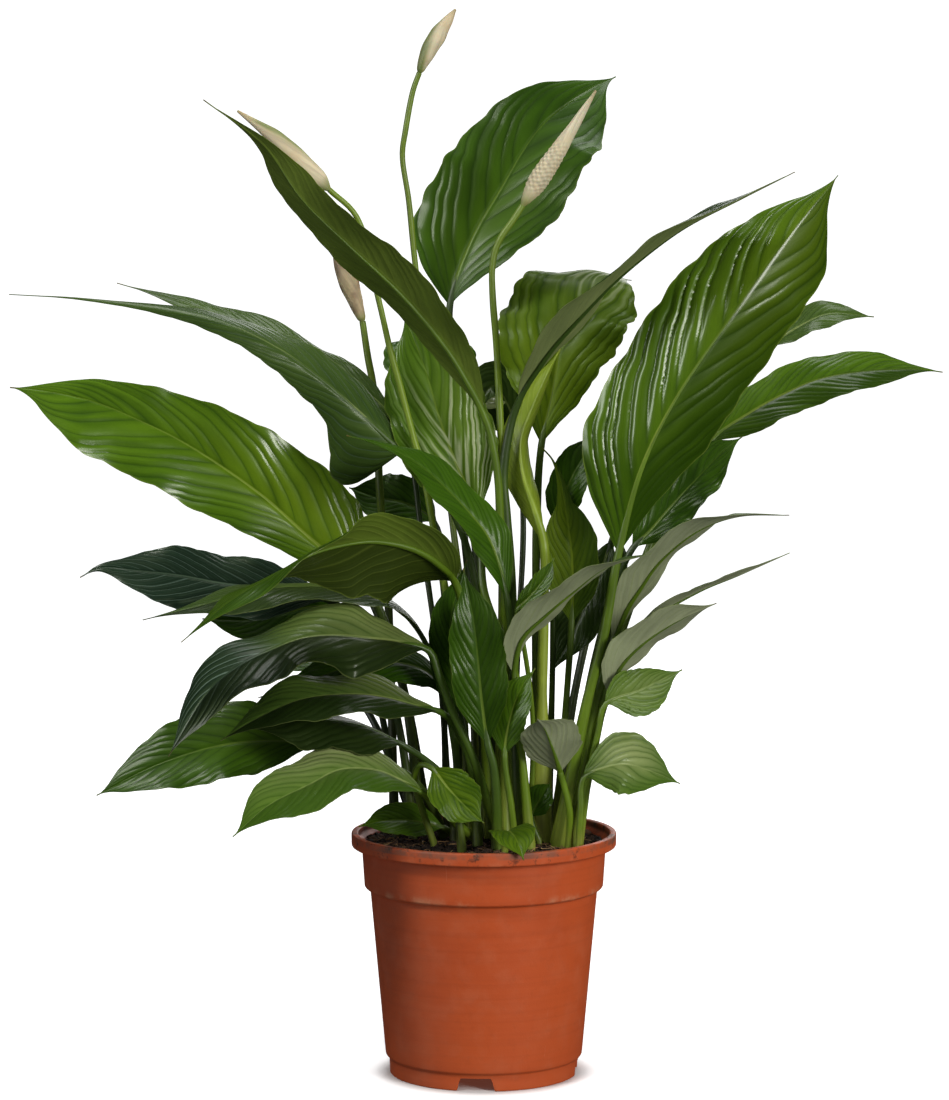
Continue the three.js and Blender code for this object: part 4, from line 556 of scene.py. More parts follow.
# A shader socket with ordinary arithmetic: each operation adds one node to its tree.
class Value:
    def __init__(self, tree, socket):
        self.tree, self.socket = tree, socket

    def node(self, kind, inputs, output=0, **settings):
        made = self.tree.nodes.new(kind)
        for name, setting in settings.items():
            setattr(made, name, setting)
        for slot, value in inputs.items():
            if isinstance(value, Value):
                self.tree.links.new(value.socket, made.inputs[slot])
            else:
                made.inputs[slot].default_value = value
        return Value(self.tree, made.outputs[output])

    def math(self, operation, *others):
        return self.node("ShaderNodeMath", dict(enumerate(others)), operation=operation)

    def __add__(self, other):
        return self.math("ADD", self, other)

    def __radd__(self, other):
        return self.math("ADD", other, self)

    def __sub__(self, other):
        return self.math("SUBTRACT", self, other)

    def __rsub__(self, other):
        return self.math("SUBTRACT", other, self)

    def __mul__(self, other):
        return self.math("MULTIPLY", self, other)

    def __rmul__(self, other):
        return self.math("MULTIPLY", other, self)

    def power(self, exponent):
        return self.math("POWER", self, exponent)

    def absolute(self):
        return self.math("ABSOLUTE", self)

    def sine(self):
        return self.math("SINE", self)

    # 0 below the start and 1 above the end, smooth between them
    def smooth(self, start, end):
        return self.node("ShaderNodeMapRange", {0: self, 1: start, 2: end, 3: 0.0, 4: 1.0},
                         interpolation_type="SMOOTHSTEP")


# A new Principled material with its surface still to be linked, and helpers that read the piece.
class Look:
    def __init__(self, name, **settings):
        self.material = bpy.data.materials.new(name)
        self.material.use_nodes = True
        self.tree = self.material.node_tree
        self.shader = self.tree.nodes["Principled BSDF"]
        self.start = Value(self.tree, None)
        for label, setting in settings.items():
            self.shader.inputs[label.replace("_", " ")].default_value = setting

    def attributes(self, *names):
        return [self.start.node("ShaderNodeAttribute", {}, "Fac", attribute_name=name) for name in names]

    def place(self):
        return self.start.node("ShaderNodeTexCoord", {}, "Object")

    def stretched(self, vector, scale):
        return self.start.node("ShaderNodeMapping", {"Vector": vector, "Scale": scale})

    def combined(self, x, y, z):
        return self.start.node("ShaderNodeCombineXYZ", {0: x, 1: y, 2: z})

    def separated(self, vector, axis):
        return self.start.node("ShaderNodeSeparateXYZ", {0: vector}, axis)

    def noise(self, vector, scale, detail=3.0, rough=0.5):
        return self.start.node("ShaderNodeTexNoise", {
            "Vector": vector, "Scale": scale, "Detail": detail, "Roughness": rough}, "Fac")

    def cells(self, vector, scale):
        return self.start.node("ShaderNodeTexVoronoi", {"Vector": vector, "Scale": scale}, "Distance")

    def mix(self, part, first, second):
        return self.start.node("ShaderNodeMix", {0: part, 6: first, 7: second}, 2, data_type="RGBA")

    def between(self, part, first, second):
        return self.start.node("ShaderNodeMix", {0: part, 2: first, 3: second}, 0, data_type="FLOAT")

    def bump(self, height, strength, distance):
        return self.start.node("ShaderNodeBump", {
            "Height": height, "Strength": strength, "Distance": distance}, "Normal")

    def finish(self, **sockets):
        for label, value in sockets.items():
            self.tree.links.new(value.socket, self.shader.inputs[label.replace("_", " ")])
        return self.material


# Colours that the leaves share: the bluish painted shade with a bluish reflection and its pale veins,
# partly painted highlight streaks, a painted grey sheen, and a withered tip.
leafColours = dict(dusk=(22, 40, 32), duskVein=(124, 146, 132), paintedSheen=(172, 182, 140),
                   withered=(104, 82, 46))


# A leaf blade: veins that run out from the midrib, darker by their own colour and by painted shade in
# their grooves, a pale midrib, patches of lighter green, a duller lower side and a thin worn margin.
# Painted light and shade are added: lighter bulges between the veins, a half made lighter or darker,
# light through or on a patch, a grey sheen on the crests, and a bluish shade with a bluish reflection.
# Its attributes come with each blade's mesh.
def bladeLook(name, look):
    made = Look("blade_" + name, Coat_Weight=look["coat"], Coat_Roughness=0.21,
                Specular_IOR_Level=0.2, Specular_Tint=(0.6, 0.85, 0.3, 1))
    across, along, under, tone, phase, rib, dusk, paintedShade, shine, paintedSheenPatch = made.attributes(
        "across", "along", "under", "tone", "phase", "rib", "dusk", "paintedShade", "paintedGlow", "paintedSheen")
    top, light, below, paintedGlow, ribColour, vein = [
        display(*look[part]) for part in ("top", "light", "under", "paintedGlow", "rib", "vein")]
    out = across.absolute()
    place = made.place()
    fold, fine, finest = [(phase * (count * math.pi)).sine().absolute() for count in (1, 3, 11)]
    away = rib.smooth(1.0, 3.2)
    veinLine = (1 - fold.smooth(0.0, 0.34)) * away
    fineLine = (1 - fine.smooth(0.0, 0.3)) * away
    ribLine = (1 - rib.smooth(0.45, 1.1)) * (1 - along.smooth(0.1, 0.75) * 0.75)
    patches = made.noise(place, 13.0).smooth(0.36, 0.66)
    streaks = made.noise(made.combined(phase * 0.9, out * 1.3, tone * 9.0), 1.0).smooth(0.3, 0.7)
    grain = made.noise(place, 300.0, 4.0, 0.6)

    # Painted light and shade: the bulges between the veins lighter, and each half lighter or darker by how
    # it faces the light, beside random patches, streaks and tone.
    lightness = fold.smooth(0.05, 1.0) * 0.22 + patches * 0.34 + streaks * 0.38 + tone * 0.22 + 0.04
    upper = made.mix(lightness.smooth(0.0, 1.0), top, light)
    # The veins darker, by their own colour and by painted shade in their grooves.
    upper = made.mix(fineLine * 0.12 + veinLine * 0.3, upper, vein)
    upper = made.mix(ribLine * 0.8, upper, ribColour)
    # Painted light: a lighter patch where light shines through the blade or falls on it, most on the
    # bulges.
    upper = made.mix(shine * (0.55 + fold * 0.45) * (1 - veinLine * 0.5), upper, paintedGlow)
    # Painted highlight: a grey sheen along the crests between the veins.
    sheenOnCrests = (0.06 + streaks.smooth(0.45, 0.8)) * fold.smooth(0.4, 0.9)
    upper = made.mix(paintedSheenPatch * sheenOnCrests, upper, display(*leafColours["paintedSheen"]))
    lower = made.mix(patches * 0.35 + streaks * 0.35 + tone * 0.2 + 0.1, below, shaded(look["under"], 0.7))
    lower = made.mix(veinLine * 0.3 + fineLine * 0.1, lower, ribColour)
    colour = made.mix(under, upper, lower)
    # Painted shade with a bluish reflection, and pale veins that are partly painted highlight streaks.
    bluish = made.mix(veinLine * 0.75 + ribLine * 0.5, display(*leafColours["dusk"]),
                      display(*leafColours["duskVein"]))
    colour = made.mix(dusk * 0.9, colour, bluish)
    colour = made.mix((grain - 0.5).absolute() * 0.5, colour, top)
    # Painted shade: a half made darker, less on the midrib.
    colour = made.mix(paintedShade * (1 - ribLine * 0.7), colour, shaded(look["top"], 0.45))
    colour = made.mix(out.smooth(0.965, 1.0) * 0.35, colour, ribColour)
    tip = along.smooth(0.97, 1.0) * made.noise(place, 90.0).smooth(0.35, 0.6)
    colour = made.mix(tip * 0.8, colour, display(*leafColours["withered"]))

    topRough, lowRough = look["rough"]
    rough = made.between(under, topRough - 0.06 + patches * 0.08 + grain * 0.1, lowRough + grain * 0.1)
    height = fold.power(0.6) * away * 0.4 + fine * away * 0.14 + finest * away * 0.03 + grain * 0.12
    height = made.between(under, height, height * -0.8) + ribLine * 0.4
    return made.finish(Base_Color=colour, Roughness=rough, Normal=made.bump(height, 0.5, 0.0005))


# A stalk: pale at its foot, green above, with streaks along it, and painted shade deep among the others.
def stalkLook(name, foot, middle, top):
    made = Look("stalk_" + name, Coat_Weight=0.1, Coat_Roughness=0.3)
    along, turn, reach, tone, inner = made.attributes("along", "turn", "reach", "tone", "inner")
    streaks = made.noise(made.combined(turn * 9.0, reach * 0.35, tone * 7.0), 1.0, 4.0, 0.6)
    blotches = made.noise(made.place(), 45.0, 2.0)
    colour = made.mix(along.smooth(0.02, 0.32), display(*foot), display(*middle))
    colour = made.mix(along.smooth(0.35, 1.0), colour, display(*top))
    colour = made.mix(streaks.smooth(0.4, 0.75) * 0.5, colour, shaded(middle, 0.62))
    colour = made.mix(blotches.smooth(0.5, 0.8) * 0.35 + tone * 0.12 + 0.06, colour, shaded(middle, 1.25))
    # Painted shade on the stalks towards the back and low down among the others.
    colour = made.mix(inner * 0.85, colour, shaded(middle, 0.42))
    return made.finish(Base_Color=colour, Roughness=0.36 + streaks * 0.2,
                       Normal=made.bump(streaks, 0.35, 0.0004))


# Colours of the spathes besides their own cream and blush.
spatheColours = dict(foot=(134, 146, 66), stripe=(98, 118, 40), tip=(150, 132, 82))


# A spathe: cream with fine lengthwise lines, green at its foot and along its outer edge, and painted
# shade in the hollows between the spadix's knobs.
def spatheLook(name, cream, blush):
    made = Look("spathe_" + name, Subsurface_Weight=0.08, Subsurface_Scale=0.004)
    along, turn, stripe, knobs = made.attributes("along", "turn", "stripe", "knobs")
    foot, edge, tip = [display(*spatheColours[part]) for part in ("foot", "stripe", "tip")]
    place = made.place()
    lines = made.noise(made.combined(turn * 16.0, along * 1.4, 0.0), 1.0, 3.0, 0.6)
    speckle = made.noise(place, 420.0, 3.0, 0.6)
    colour = made.mix(lines.smooth(0.35, 0.7) * 0.7, display(*cream), shaded(cream, 0.76))
    colour = made.mix(made.noise(place, 70.0).smooth(0.42, 0.62) * 0.7, colour, display(*blush))
    colour = made.mix((1 - along.smooth(0.0, 0.14)) * 0.85, colour, foot)
    colour = made.mix(stripe * 0.85, colour, edge)
    colour = made.mix(along.smooth(0.86, 1.0) * 0.7, colour, tip)
    # Painted shade in the hollows between the knobs.
    colour = made.mix(knobs * 0.65, colour, shaded(cream, 0.72))
    return made.finish(Base_Color=colour, Roughness=0.5 + speckle * 0.2,
                       Normal=made.bump(lines * 0.7 + speckle * 0.4, 0.5, 0.0004))


potColours = dict(plain=(204, 88, 40), mottle=(192, 80, 36), pale=(210, 94, 44), ring=(170, 70, 32),
                  dust=(212, 150, 112), scratch=(226, 160, 128), smudge=(74, 44, 30),
                  soiled=(112, 84, 68), inside=(104, 56, 36))


# Satin moulded plastic: faint mottling, moulding lines round the pot, fine scratches, dust under
# the lip, dust and painted light on the step, and a little dried peat on the rim.
def potLook():
    made = Look("pot_plastic", Specular_IOR_Level=0.3)
    paint = {part: display(*levels) for part, levels in potColours.items()}
    place = made.place()
    height = made.separated(place, "Z") * 1000.0
    edge, inside = made.attributes("edge", "inside")
    mottle = made.noise(place, 22.0, 4.0)
    wide = made.noise(place, 6.0, 2.0)
    grain = made.noise(place, 900.0, 3.0, 0.6)
    rings = made.noise(made.stretched(place, (2.0, 2.0, 260.0)), 1.0, 2.0)
    upright = made.noise(made.stretched(place, (420.0, 420.0, 9.0)), 1.0, 3.0, 0.6)
    scratches = upright.smooth(0.68, 0.74) * made.noise(place, 14.0).smooth(0.5, 0.7)
    colour = made.mix(mottle.smooth(0.3, 0.7) * 0.6, paint["plain"], paint["mottle"])
    colour = made.mix(wide.smooth(0.4, 0.65) * 0.4, colour, paint["pale"])
    colour = made.mix(rings.smooth(0.45, 0.7) * 0.18, colour, paint["ring"])
    dust = made.noise(place, 60.0, 4.0, 0.65).smooth(0.42, 0.72)
    # The step is painted lighter: dust, and painted light that takes out its shadow line.
    stepDustAndLight = height.smooth(119.0, 122.0) * (1 - height.smooth(122.0, 127.0))
    rim = height.smooth(145.0, 153.0)
    colour = made.mix(dust * (edge * 0.35 * (1 - rim) + stepDustAndLight * 0.55 + 0.07), colour, paint["dust"])
    colour = made.mix(scratches * 0.3, colour, paint["scratch"])
    smudge = made.noise(place, 170.0, 5.0, 0.7).smooth(0.53, 0.66)
    colour = made.mix(smudge * (rim * 0.85 + 0.05), colour, paint["smudge"])
    soiled = height.smooth(151.2, 152.8) * made.noise(place, 36.0, 4.0, 0.65).smooth(0.36, 0.6)
    colour = made.mix(soiled * 0.75, colour, paint["soiled"])
    colour = made.mix(inside * (0.35 + 0.5 * dust), colour, paint["inside"])
    rough = 0.44 + mottle * 0.1 + dust * 0.14 + scratches * 0.1
    relief = grain * 0.35 + rings * 0.5 + scratches * -0.6 + mottle * 0.5
    return made.finish(Base_Color=colour, Roughness=rough, Normal=made.bump(relief, 0.35, 0.0006))


peatColours = dict(dark=(30, 22, 17), brown=(66, 47, 34), crumb=(98, 72, 50), paintedGapShade=(22, 16, 13),
                   fibre=(120, 90, 58), paleFibre=(186, 150, 104), wetFibre=(84, 60, 40))


# Moist peat: near-black crumbs with brown ones among them, and painted shade in the gaps between them.
def peatLook():
    made = Look("peat", Specular_IOR_Level=0.3)
    dark, brown, crumb, paintedGapShade = [display(*peatColours[part]) for part in ("dark", "brown", "crumb", "paintedGapShade")]
    place = made.place()
    crumbs = made.cells(place, 380.0)
    clumps = made.noise(place, 90.0, 5.0, 0.65)
    tone, = made.attributes("tone")
    colour = made.mix(clumps.smooth(0.35, 0.7), dark, brown)
    colour = made.mix(tone.smooth(0.2, 1.0) * 0.7, colour, crumb)
    # Painted shade in the gaps between the crumbs.
    colour = made.mix(crumbs.smooth(0.45, 0.9) * 0.5, colour, paintedGapShade)
    height = clumps + crumbs * -0.5 + made.noise(place, 700.0) * 0.5
    return made.finish(Base_Color=colour, Roughness=0.82 + clumps * 0.14,
                       Normal=made.bump(height, 0.8, 0.0016))


# Dry fibres in the peat, from brown to straw.
def fibreLook():
    made = Look("peat_fibre", Specular_IOR_Level=0.3)
    brown, pale, wet = [display(*peatColours[part]) for part in ("fibre", "paleFibre", "wetFibre")]
    place = made.place()
    tone, = made.attributes("tone")
    colour = made.mix(tone.smooth(0.0, 1.0), brown, pale)
    colour = made.mix(made.noise(place, 300.0).smooth(0.4, 0.7) * 0.6, colour, wet)
    return made.finish(Base_Color=colour, Roughness=0.75 + tone * 0.1,
                       Normal=made.bump(made.noise(place, 900.0), 0.5, 0.0004))


# How a blade is made. The powers shape its outline at the stalk, at the tip and along the taper,
# and taperStart is where the taper begins, counted back from the tip in drip parts. The veins'
# spacing is a part of the leaf's width, and the thicknesses are those of half the blade.
bladeShape = dict(stalkPower=1.1, tipPower=0.85, taperPower=1.7, taperStart=2.3, veinSpacing=0.25,
                  leastSpacing=5.0, pleatHeight=0.8, gutterDepth=0.55, halfThick=0.32,
                  marginHalfThick=0.15, smallWave=1.3)
# The finest and coarsest mesh of a blade: rows along it, and columns across each half.
bladeMesh = dict(rowStep=1.5, rows=(60, 250), columnsForWidth=0.6, columns=(15, 50))
stalkShape = dict(sides=18, step=4, midribRows=70, sheath=0.22, sheathReach=28, thinnest=0.22,
                  taperPower=1.7, buried=14.0)


# Half the blade's width: it widens from the stalk, stays wide, and closes to a thin tip of its own.
# The widening and the closing are quarter sine waves raised to a power, and the taper is a power of
# what is left of the length.
def halfWidth(leaf, part, half):
    drip = leaf["drip"]
    body = np.minimum(1, part / (1 - drip))
    footSpan, tipSpan = leaf["ends"][half]
    full = leaf["width"] / 2 * leaf["halves"][half]
    tipPower = bladeShape["tipPower"]
    core = full * rise(body, footSpan) ** bladeShape["stalkPower"] * rise(1 - body, tipSpan) ** tipPower
    taper = 1 - bladeShape["taperStart"] * drip
    waist = full * rise((1 - taper / (1 - drip)), tipSpan) ** tipPower
    tapering = waist * ((1 - part) / (1 - taper)) ** bladeShape["taperPower"]
    core = np.maximum(core, np.where(part > taper, tapering, 0))
    neck = leaf["thick"][-1] * 0.7 * np.maximum(0, 1 - part / 0.2)
    tip = 0.4 + 1.2 * (1 - part)
    width = np.maximum(np.maximum(core, neck), tip)
    if half == 0 and "lobe" in leaf:
        height, place, spread = leaf["lobe"]
        width = width + height * bell(part - place, spread) * rise(part, place / 2)
    return width


# The middle surface of the blade: each half lies at its own angle to the midrib, curls towards the
# margin, and waves there. Its margin is a little uneven, and small waves are added.
def bladeSheet(leaf, walk, base, parts, sides, seed):
    maker = np.random.default_rng(seed)
    lengths = base + (walk.total - base) * parts
    tangent = walk.tangent(lengths)
    face = squared(sampled(leaf["faces"], parts), tangent)
    sideways = np.cross(tangent, face)
    out = np.abs(sides)
    half = (sides >= 0).astype(int)
    edges = []
    for side in (0, 1):
        swing = np.sin(2 * np.pi * (parts * maker.uniform(6, 9) + maker.uniform()))
        scallops = np.abs(np.sin(np.pi * (parts * maker.uniform(13, 18) + maker.uniform())))
        edges.append(halfWidth(leaf, parts, side) * (1 + 0.02 * swing + leaf["nick"] * scallops))
    widths = np.stack(edges, 1)[:, half]
    angle = np.radians(np.array(leaf["lift"])[half] + np.array(leaf["curl"])[half] * out)
    waveHeight, waveCount, wavePhase = leaf["wave"]
    turn = 2 * np.pi * (waveCount * parts[:, None] + wavePhase + half * 0.37)
    fullness = np.minimum(1, widths / (leaf["width"] / 2))
    wave = waveHeight * np.sin(turn) * out * out * fullness
    for count in (maker.uniform(6, 8), maker.uniform(10, 13)):
        shift = maker.uniform() + half * maker.uniform(0.2, 0.8)
        ripple = np.sin(2 * np.pi * (count * parts[:, None] + shift))
        wave = wave + bladeShape["smallWave"] / count * ripple * out ** 3 * fullness * leaf["width"] / 50
    spread = (np.sign(sides) * widths * out * np.cos(angle))[..., None]
    height = (widths * out * np.sin(angle) + wave)[..., None]
    points = walk.at(lengths)[:, None] + sideways[:, None] * spread + face[:, None] * height
    return points, widths, lengths - base


# Where each point lies among the veins, as a count of them: they leave the midrib at a slant and
# bend towards the tip on their way out. Two slow sine waves make their spacing uneven.
def veinPhase(leaf, distance, out, widths, seed):
    spacing = max(bladeShape["leastSpacing"], leaf["width"] * bladeShape["veinSpacing"])
    maker = np.random.default_rng(seed + 1)
    reach = (0.75 * leaf["width"] / 2 + 0.25 * widths) * leaf["sweep"]
    phase = (distance[:, None] - reach * (1.6 * out + 0.8 * out ** 2)) / spacing
    return phase + 0.16 * np.sin(2 * np.pi * (phase / 3.7 + maker.uniform())) \
        + 0.08 * np.sin(2 * np.pi * (phase / 1.7 + maker.uniform()))


# How far a patch of another tone covers the blade: a bell curve of the distance from its middle.
def patchOver(patch, parts, sides):
    depth, place, side, reach = patch
    return depth * bell(parts - place, reach) * bell(sides - side, 0.75)


# The way a surface faces: the cross product of its two directions, from differences on the grid.
def sheetNormals(points):
    along = np.gradient(points, axis=0)
    across = np.gradient(points, axis=1)
    return unit(np.cross(across, along))


# A leaf: a blade with an upper and a lower side, closed at its margins, the stalk, and the midrib
# that carries on under the blade. The pleats are a power of a sine of the count of veins, less near
# the midrib and the margin, and the gutter over the midrib is a bell curve across the blade.
def addLeaf(leaf, seed, materials):
    fine = 1
    walk = Walk(leaf["stalk"] + leaf["blade"])
    base = walk.lengthAt(len(leaf["stalk"]) - 1)
    long = walk.total - base
    fewest, most = bladeMesh["rows"]
    rows = int(fine * min(most, max(fewest, long / bladeMesh["rowStep"])))
    fewest, most = bladeMesh["columns"]
    columns = 2 * int(fine * min(most, max(fewest, leaf["width"] * bladeMesh["columnsForWidth"]))) + 1
    parts = np.linspace(0.0, 1.0, rows)
    even = np.linspace(-1, 1, columns)
    sides = np.sin(even * np.pi / 2) * 0.35 + even * 0.65
    out = np.abs(sides)[None]
    middle, widths, distance = bladeSheet(leaf, walk, base, parts, sides, seed)
    phase = veinPhase(leaf, distance, out, widths, seed) + 0.5 * (sides > 0)[None]
    normals = sheetNormals(middle)

    along = parts[:, None]
    fullness = np.minimum(1, widths / (leaf["width"] / 2))
    bulge = np.abs(np.sin(np.pi * phase)) ** 0.75 - 0.55
    envelope = smoothStep(0.02, 0.3, out) * (1 - 0.75 * smoothStep(0.75, 1.0, out)) * fullness ** 1.5
    pleat = np.where(sides < 0, *leaf["pleat"])[None] * bladeShape["pleatHeight"] * bulge * envelope
    ribDistance = out * widths
    ribWidth = 0.3 + leaf["thick"][-1] * 0.5 * (1 - along) ** 1.3
    gutter = -bladeShape["gutterDepth"] * bell(ribDistance, ribWidth * 1.6) * (1 - 0.6 * along)
    middle = middle + normals * (pleat + gutter)[..., None]
    thinning = bladeShape["halfThick"] - bladeShape["marginHalfThick"]
    depth = sheetNormals(middle) * (bladeShape["halfThick"] - thinning * out)[..., None]

    tone = np.random.default_rng(seed + 2).uniform(-1, 1)
    tonesAndPaintedLight = leaf.get("tonesAndPaintedLight", [tone, tone])
    duskStart, duskEnd, duskDepth = leaf["dusk"]
    shared = dict(across=sides[None], phase=phase, rib=ribDistance / ribWidth, along=along,
                  tone=np.where(sides < 0, *tonesAndPaintedLight)[None], paintedShade=np.where(sides < 0, *leaf["paintedShade"])[None],
                  dusk=smoothStep(duskStart, duskEnd, along) * duskDepth,
                  paintedGlow=patchOver(leaf["paintedGlow"], along, sides[None]),
                  paintedSheen=patchOver(leaf["paintedSheen"], along, sides[None]))
    builder = Builder()
    top = builder.add(middle + depth, 0, under=0.0, **shared)
    bottom = builder.add(middle - depth, 0, flipped=True, under=1.0, **shared)
    for column, turned in ((0, False), (columns - 1, True)):
        builder.join(top + column, bottom + column, columns, rows, turned)
    for row, turned in ((0, False), ((rows - 1) * columns, True)):
        builder.join(top + row, bottom + row, 1, columns, not turned)
    addStalk(builder, leaf, walk, base, seed, tone, 1, long)
    return builder.build(leaf["name"] + "_fine", materials)


# The stalk from its foot in the peat to the blade, then on as the midrib under it, with a sheath at
# its foot and a groove on its upper side. It sinks below the blade's middle as it becomes the midrib.
def addStalk(builder, plant, walk, base, seed, tone, look, long=0.0):
    lengths = np.linspace(0, base, max(24, int(base / stalkShape["step"])))
    if long:
        midrib = np.linspace(0.01, 0.93, stalkShape["midribRows"])
        lengths = np.concatenate([lengths, base + midrib * long])
    part = np.clip((lengths - base) / max(long, 1), 0, 1)
    sheath = 1 + stalkShape["sheath"] * np.exp(-lengths / stalkShape["sheathReach"])
    radii = sampled(plant["thick"], np.minimum(1, lengths / base)) * sheath
    thinnest = stalkShape["thinnest"]
    narrowing = thinnest + (plant["thick"][-1] - thinnest) * (1 - part) ** stalkShape["taperPower"]
    radii = np.where(lengths <= base, radii, narrowing)
    tangent = walk.tangent(lengths)
    faces = sampled(plant["faces"], part) if "faces" in plant else np.array([0, -1, 0.1]) + 0 * tangent
    faces = squared(faces, tangent)
    sink = radii * (0.25 + 0.6 * smoothStep(0, 0.12, part)) * smoothStep(-12, 3, lengths - base) \
        * (1 if long else 0)
    centres = walk.at(lengths) - faces * sink[:, None]
    maker = np.random.default_rng(seed + 3)
    swell = 1 + 0.04 * np.sin(lengths / maker.uniform(9, 14) + maker.uniform(0, 6))
    count = stalkShape["sides"]
    grid = tubeGrid(centres, tangent, faces, radii * swell, count, 1 - 0.12 * (part > 0),
                    0.14 if long else 0)
    foot = grid[:1] - np.array([0, 0, stalkShape["buried"]])
    grid = np.concatenate([foot, grid])
    lengths = np.concatenate([[-stalkShape["buried"]], lengths])
    # Where the stalk takes painted shade: towards the back and below the leaves.
    inner = smoothStep(-25, 35, grid[..., 1]) * (1 - smoothStep(260, 420, grid[..., 2]))
    start = builder.add(grid, look, closed=True, along=np.clip(lengths / base, 0, 1)[:, None], inner=inner,
                        turn=np.linspace(0, 1, count)[None], reach=lengths[:, None] * 0.05, tone=tone)
    last = start + (len(lengths) - 1) * count
    fan = np.arange(1, count - 1, 2)
    builder.addFaces(np.stack([last + 0 * fan, last + fan, last + fan + 1,
                               last + np.minimum(fan + 2, count - 1)], 1)[:-1], look)


# A flower's stalk: the same tube as a leaf's, without a midrib.
def addFlowerStalk(flower, seed, materials):
    walk = Walk(flower["stalk"])
    builder = Builder()
    tone = np.random.default_rng(seed).uniform(-1, 1)
    addStalk(builder, flower, walk, walk.total, seed, tone, 0)
    return builder.build("flower_stalk_" + flower["name"] + "_fine", materials)


spatheShape = dict(rows=150, columns=72, turns=1.28, edgeSlant=0.35, thickness=0.45, tuck=0.2,
                   rippleDepth=0.03, knobHeight=0.45)


# A furled spathe: one sheet wound a little more than once round, whose outer edge runs slantwise
# along it, closed to a point above and drawn in to the stalk below. The knobs of the spadix inside
# press through where the flower says so, as a product of two sine waves.
def addSpathe(flower, seed, materials):
    maker = np.random.default_rng(seed)
    walk = Walk([flower["stalk"][-1]] + flower["spathe"])
    rows, columns, turns = [spatheShape[name] for name in ("rows", "columns", "turns")]
    part = np.linspace(0, 1, rows)
    lengths = part * walk.total
    places = np.linspace(0, 1, len(flower["swell"]))
    outline = smoothCurve([[place, radius, 0] for place, radius in zip(places, flower["swell"])])
    radii = np.interp(part, outline[:, 0], outline[:, 1]) * smoothStep(-0.02, 0.05, part) ** 0.3
    tangent = walk.tangent(lengths)
    face = squared(np.array([0, -1, 0.1]) + 0 * tangent, tangent)
    sideways = np.cross(tangent, face)
    around = np.linspace(0, 1, columns)[None]
    part = part[:, None]
    angle = 2 * np.pi * (around * turns + spatheShape["edgeSlant"] * part + flower["seam"])
    tuck = 1 - spatheShape["tuck"] * (1 - smoothStep(0.0, 0.24, around)) \
        + 0.05 * smoothStep(0.86, 1.0, around)
    ripple = spatheShape["rippleDepth"] * np.sin(2 * np.pi * (4 * part + around * 2 + maker.uniform()))
    knobs = flower["knobs"] * smoothStep(0.06, 0.2, part) * (1 - smoothStep(0.42, 0.62, part))
    bumps = np.sin(around * turns * 2 * np.pi * 7 + part * 34) * np.sin(part * 150 + np.cos(around * 31))
    radius = radii[:, None] * (tuck + ripple * (1 - knobs)) + spatheShape["knobHeight"] * bumps * knobs
    centres = walk.at(lengths)[:, None]
    grid = centres + radius[..., None] * (
        np.cos(angle)[..., None] * sideways[:, None] + np.sin(angle)[..., None] * face[:, None])
    stripe = (1 - smoothStep(0.04, 0.17, np.abs(around - flower["stripe"]))) \
        * (1 - smoothStep(0.75, 0.98, part))
    # The knobs value is largest in the hollows between the bumps, where it paints shade.
    shared = dict(along=part, turn=around, stripe=stripe * (flower["stripe"] > 0),
                  knobs=np.clip(knobs * (0.5 - 0.5 * bumps), 0, 1))
    normals = sheetNormals(grid)
    outward = np.sign(((grid - centres) * normals).sum(-1, keepdims=True))
    builder = Builder()
    outer = builder.add(grid, 0, flipped=True, **shared)
    inner = builder.add(grid - normals * outward * spatheShape["thickness"], 0, **shared)
    for column, turned in ((0, True), (columns - 1, False)):
        builder.join(outer + column, inner + column, columns, rows, turned)
    return builder.build("spathe_" + flower["name"] + "_fine", materials)


potMesh = dict(sides=432, quickSides=240, cornerReach=1.1, cornerSteps=5, longestStep=5.0)


# The outline with each corner rounded by a short curve, cut into steps of a few millimetres.
def roundedOutline(outline):
    points = np.array(outline, float)
    longest = potMesh["longestStep"]
    rows = [points[0]]
    for index in range(1, len(points) - 1):
        before, corner, after = points[index - 1:index + 2]
        into, away = [side / np.linalg.norm(side) * min(potMesh["cornerReach"], np.linalg.norm(side) * 0.42)
                      for side in (before - corner, after - corner)]
        first = corner + into
        cuts = int(np.linalg.norm(first - rows[-1]) / longest)
        for cut in range(1, cuts + 1):
            rows.append(rows[-1] + (first - rows[-1]) * cut / (cuts + 1))
        for part in np.linspace(0, 1, potMesh["cornerSteps"]):
            rows.append(corner + into * (1 - part) ** 2 + away * part ** 2)
    rows.append(points[-1])
    return np.array(rows)


# The pot: its outline turned about the axis, and raised to a notch's roof where one cuts the foot
# ring. The roof falls away by a smooth step at the notch's sides.
def addPot(material):
    outline = roundedOutline(potOutline)
    reach, level = outline.T
    sides = potMesh["sides"]
    angle = turnsOf(sides)
    radius = reach[:, None]
    height = np.broadcast_to(level[:, None], (len(outline), sides)).copy()
    x, y = radius * np.cos(angle), radius * np.sin(angle)
    inRing = (radius > 57.5) & (radius < 62.5)
    for index in range(notch["count"]):
        turn = np.radians(notch["turn"] + index * 360 / notch["count"] - 90)
        ahead = x * np.cos(turn) + y * np.sin(turn)
        aside = np.abs(-x * np.sin(turn) + y * np.cos(turn))
        half = notch["width"] / 2
        roof = notch["roof"] * (1 - smoothStep(half - notch["taper"], half, aside))
        height = np.where(inRing & (ahead > 0), np.maximum(height, roof), height)
    lipAt = int(np.argmax(reach + level * 0.001))
    inside = (np.arange(len(outline)) > lipAt) & (level < 154)
    edge = smoothStep(82.5, 85, reach) * smoothStep(146, 150, level)
    builder = Builder()
    builder.add(np.stack([x, y, height], -1), 0, closed=True, flipped=True,
                inside=inside[:, None].astype(float), edge=edge[:, None])
    return builder.build("pot_fine", [material], 40)


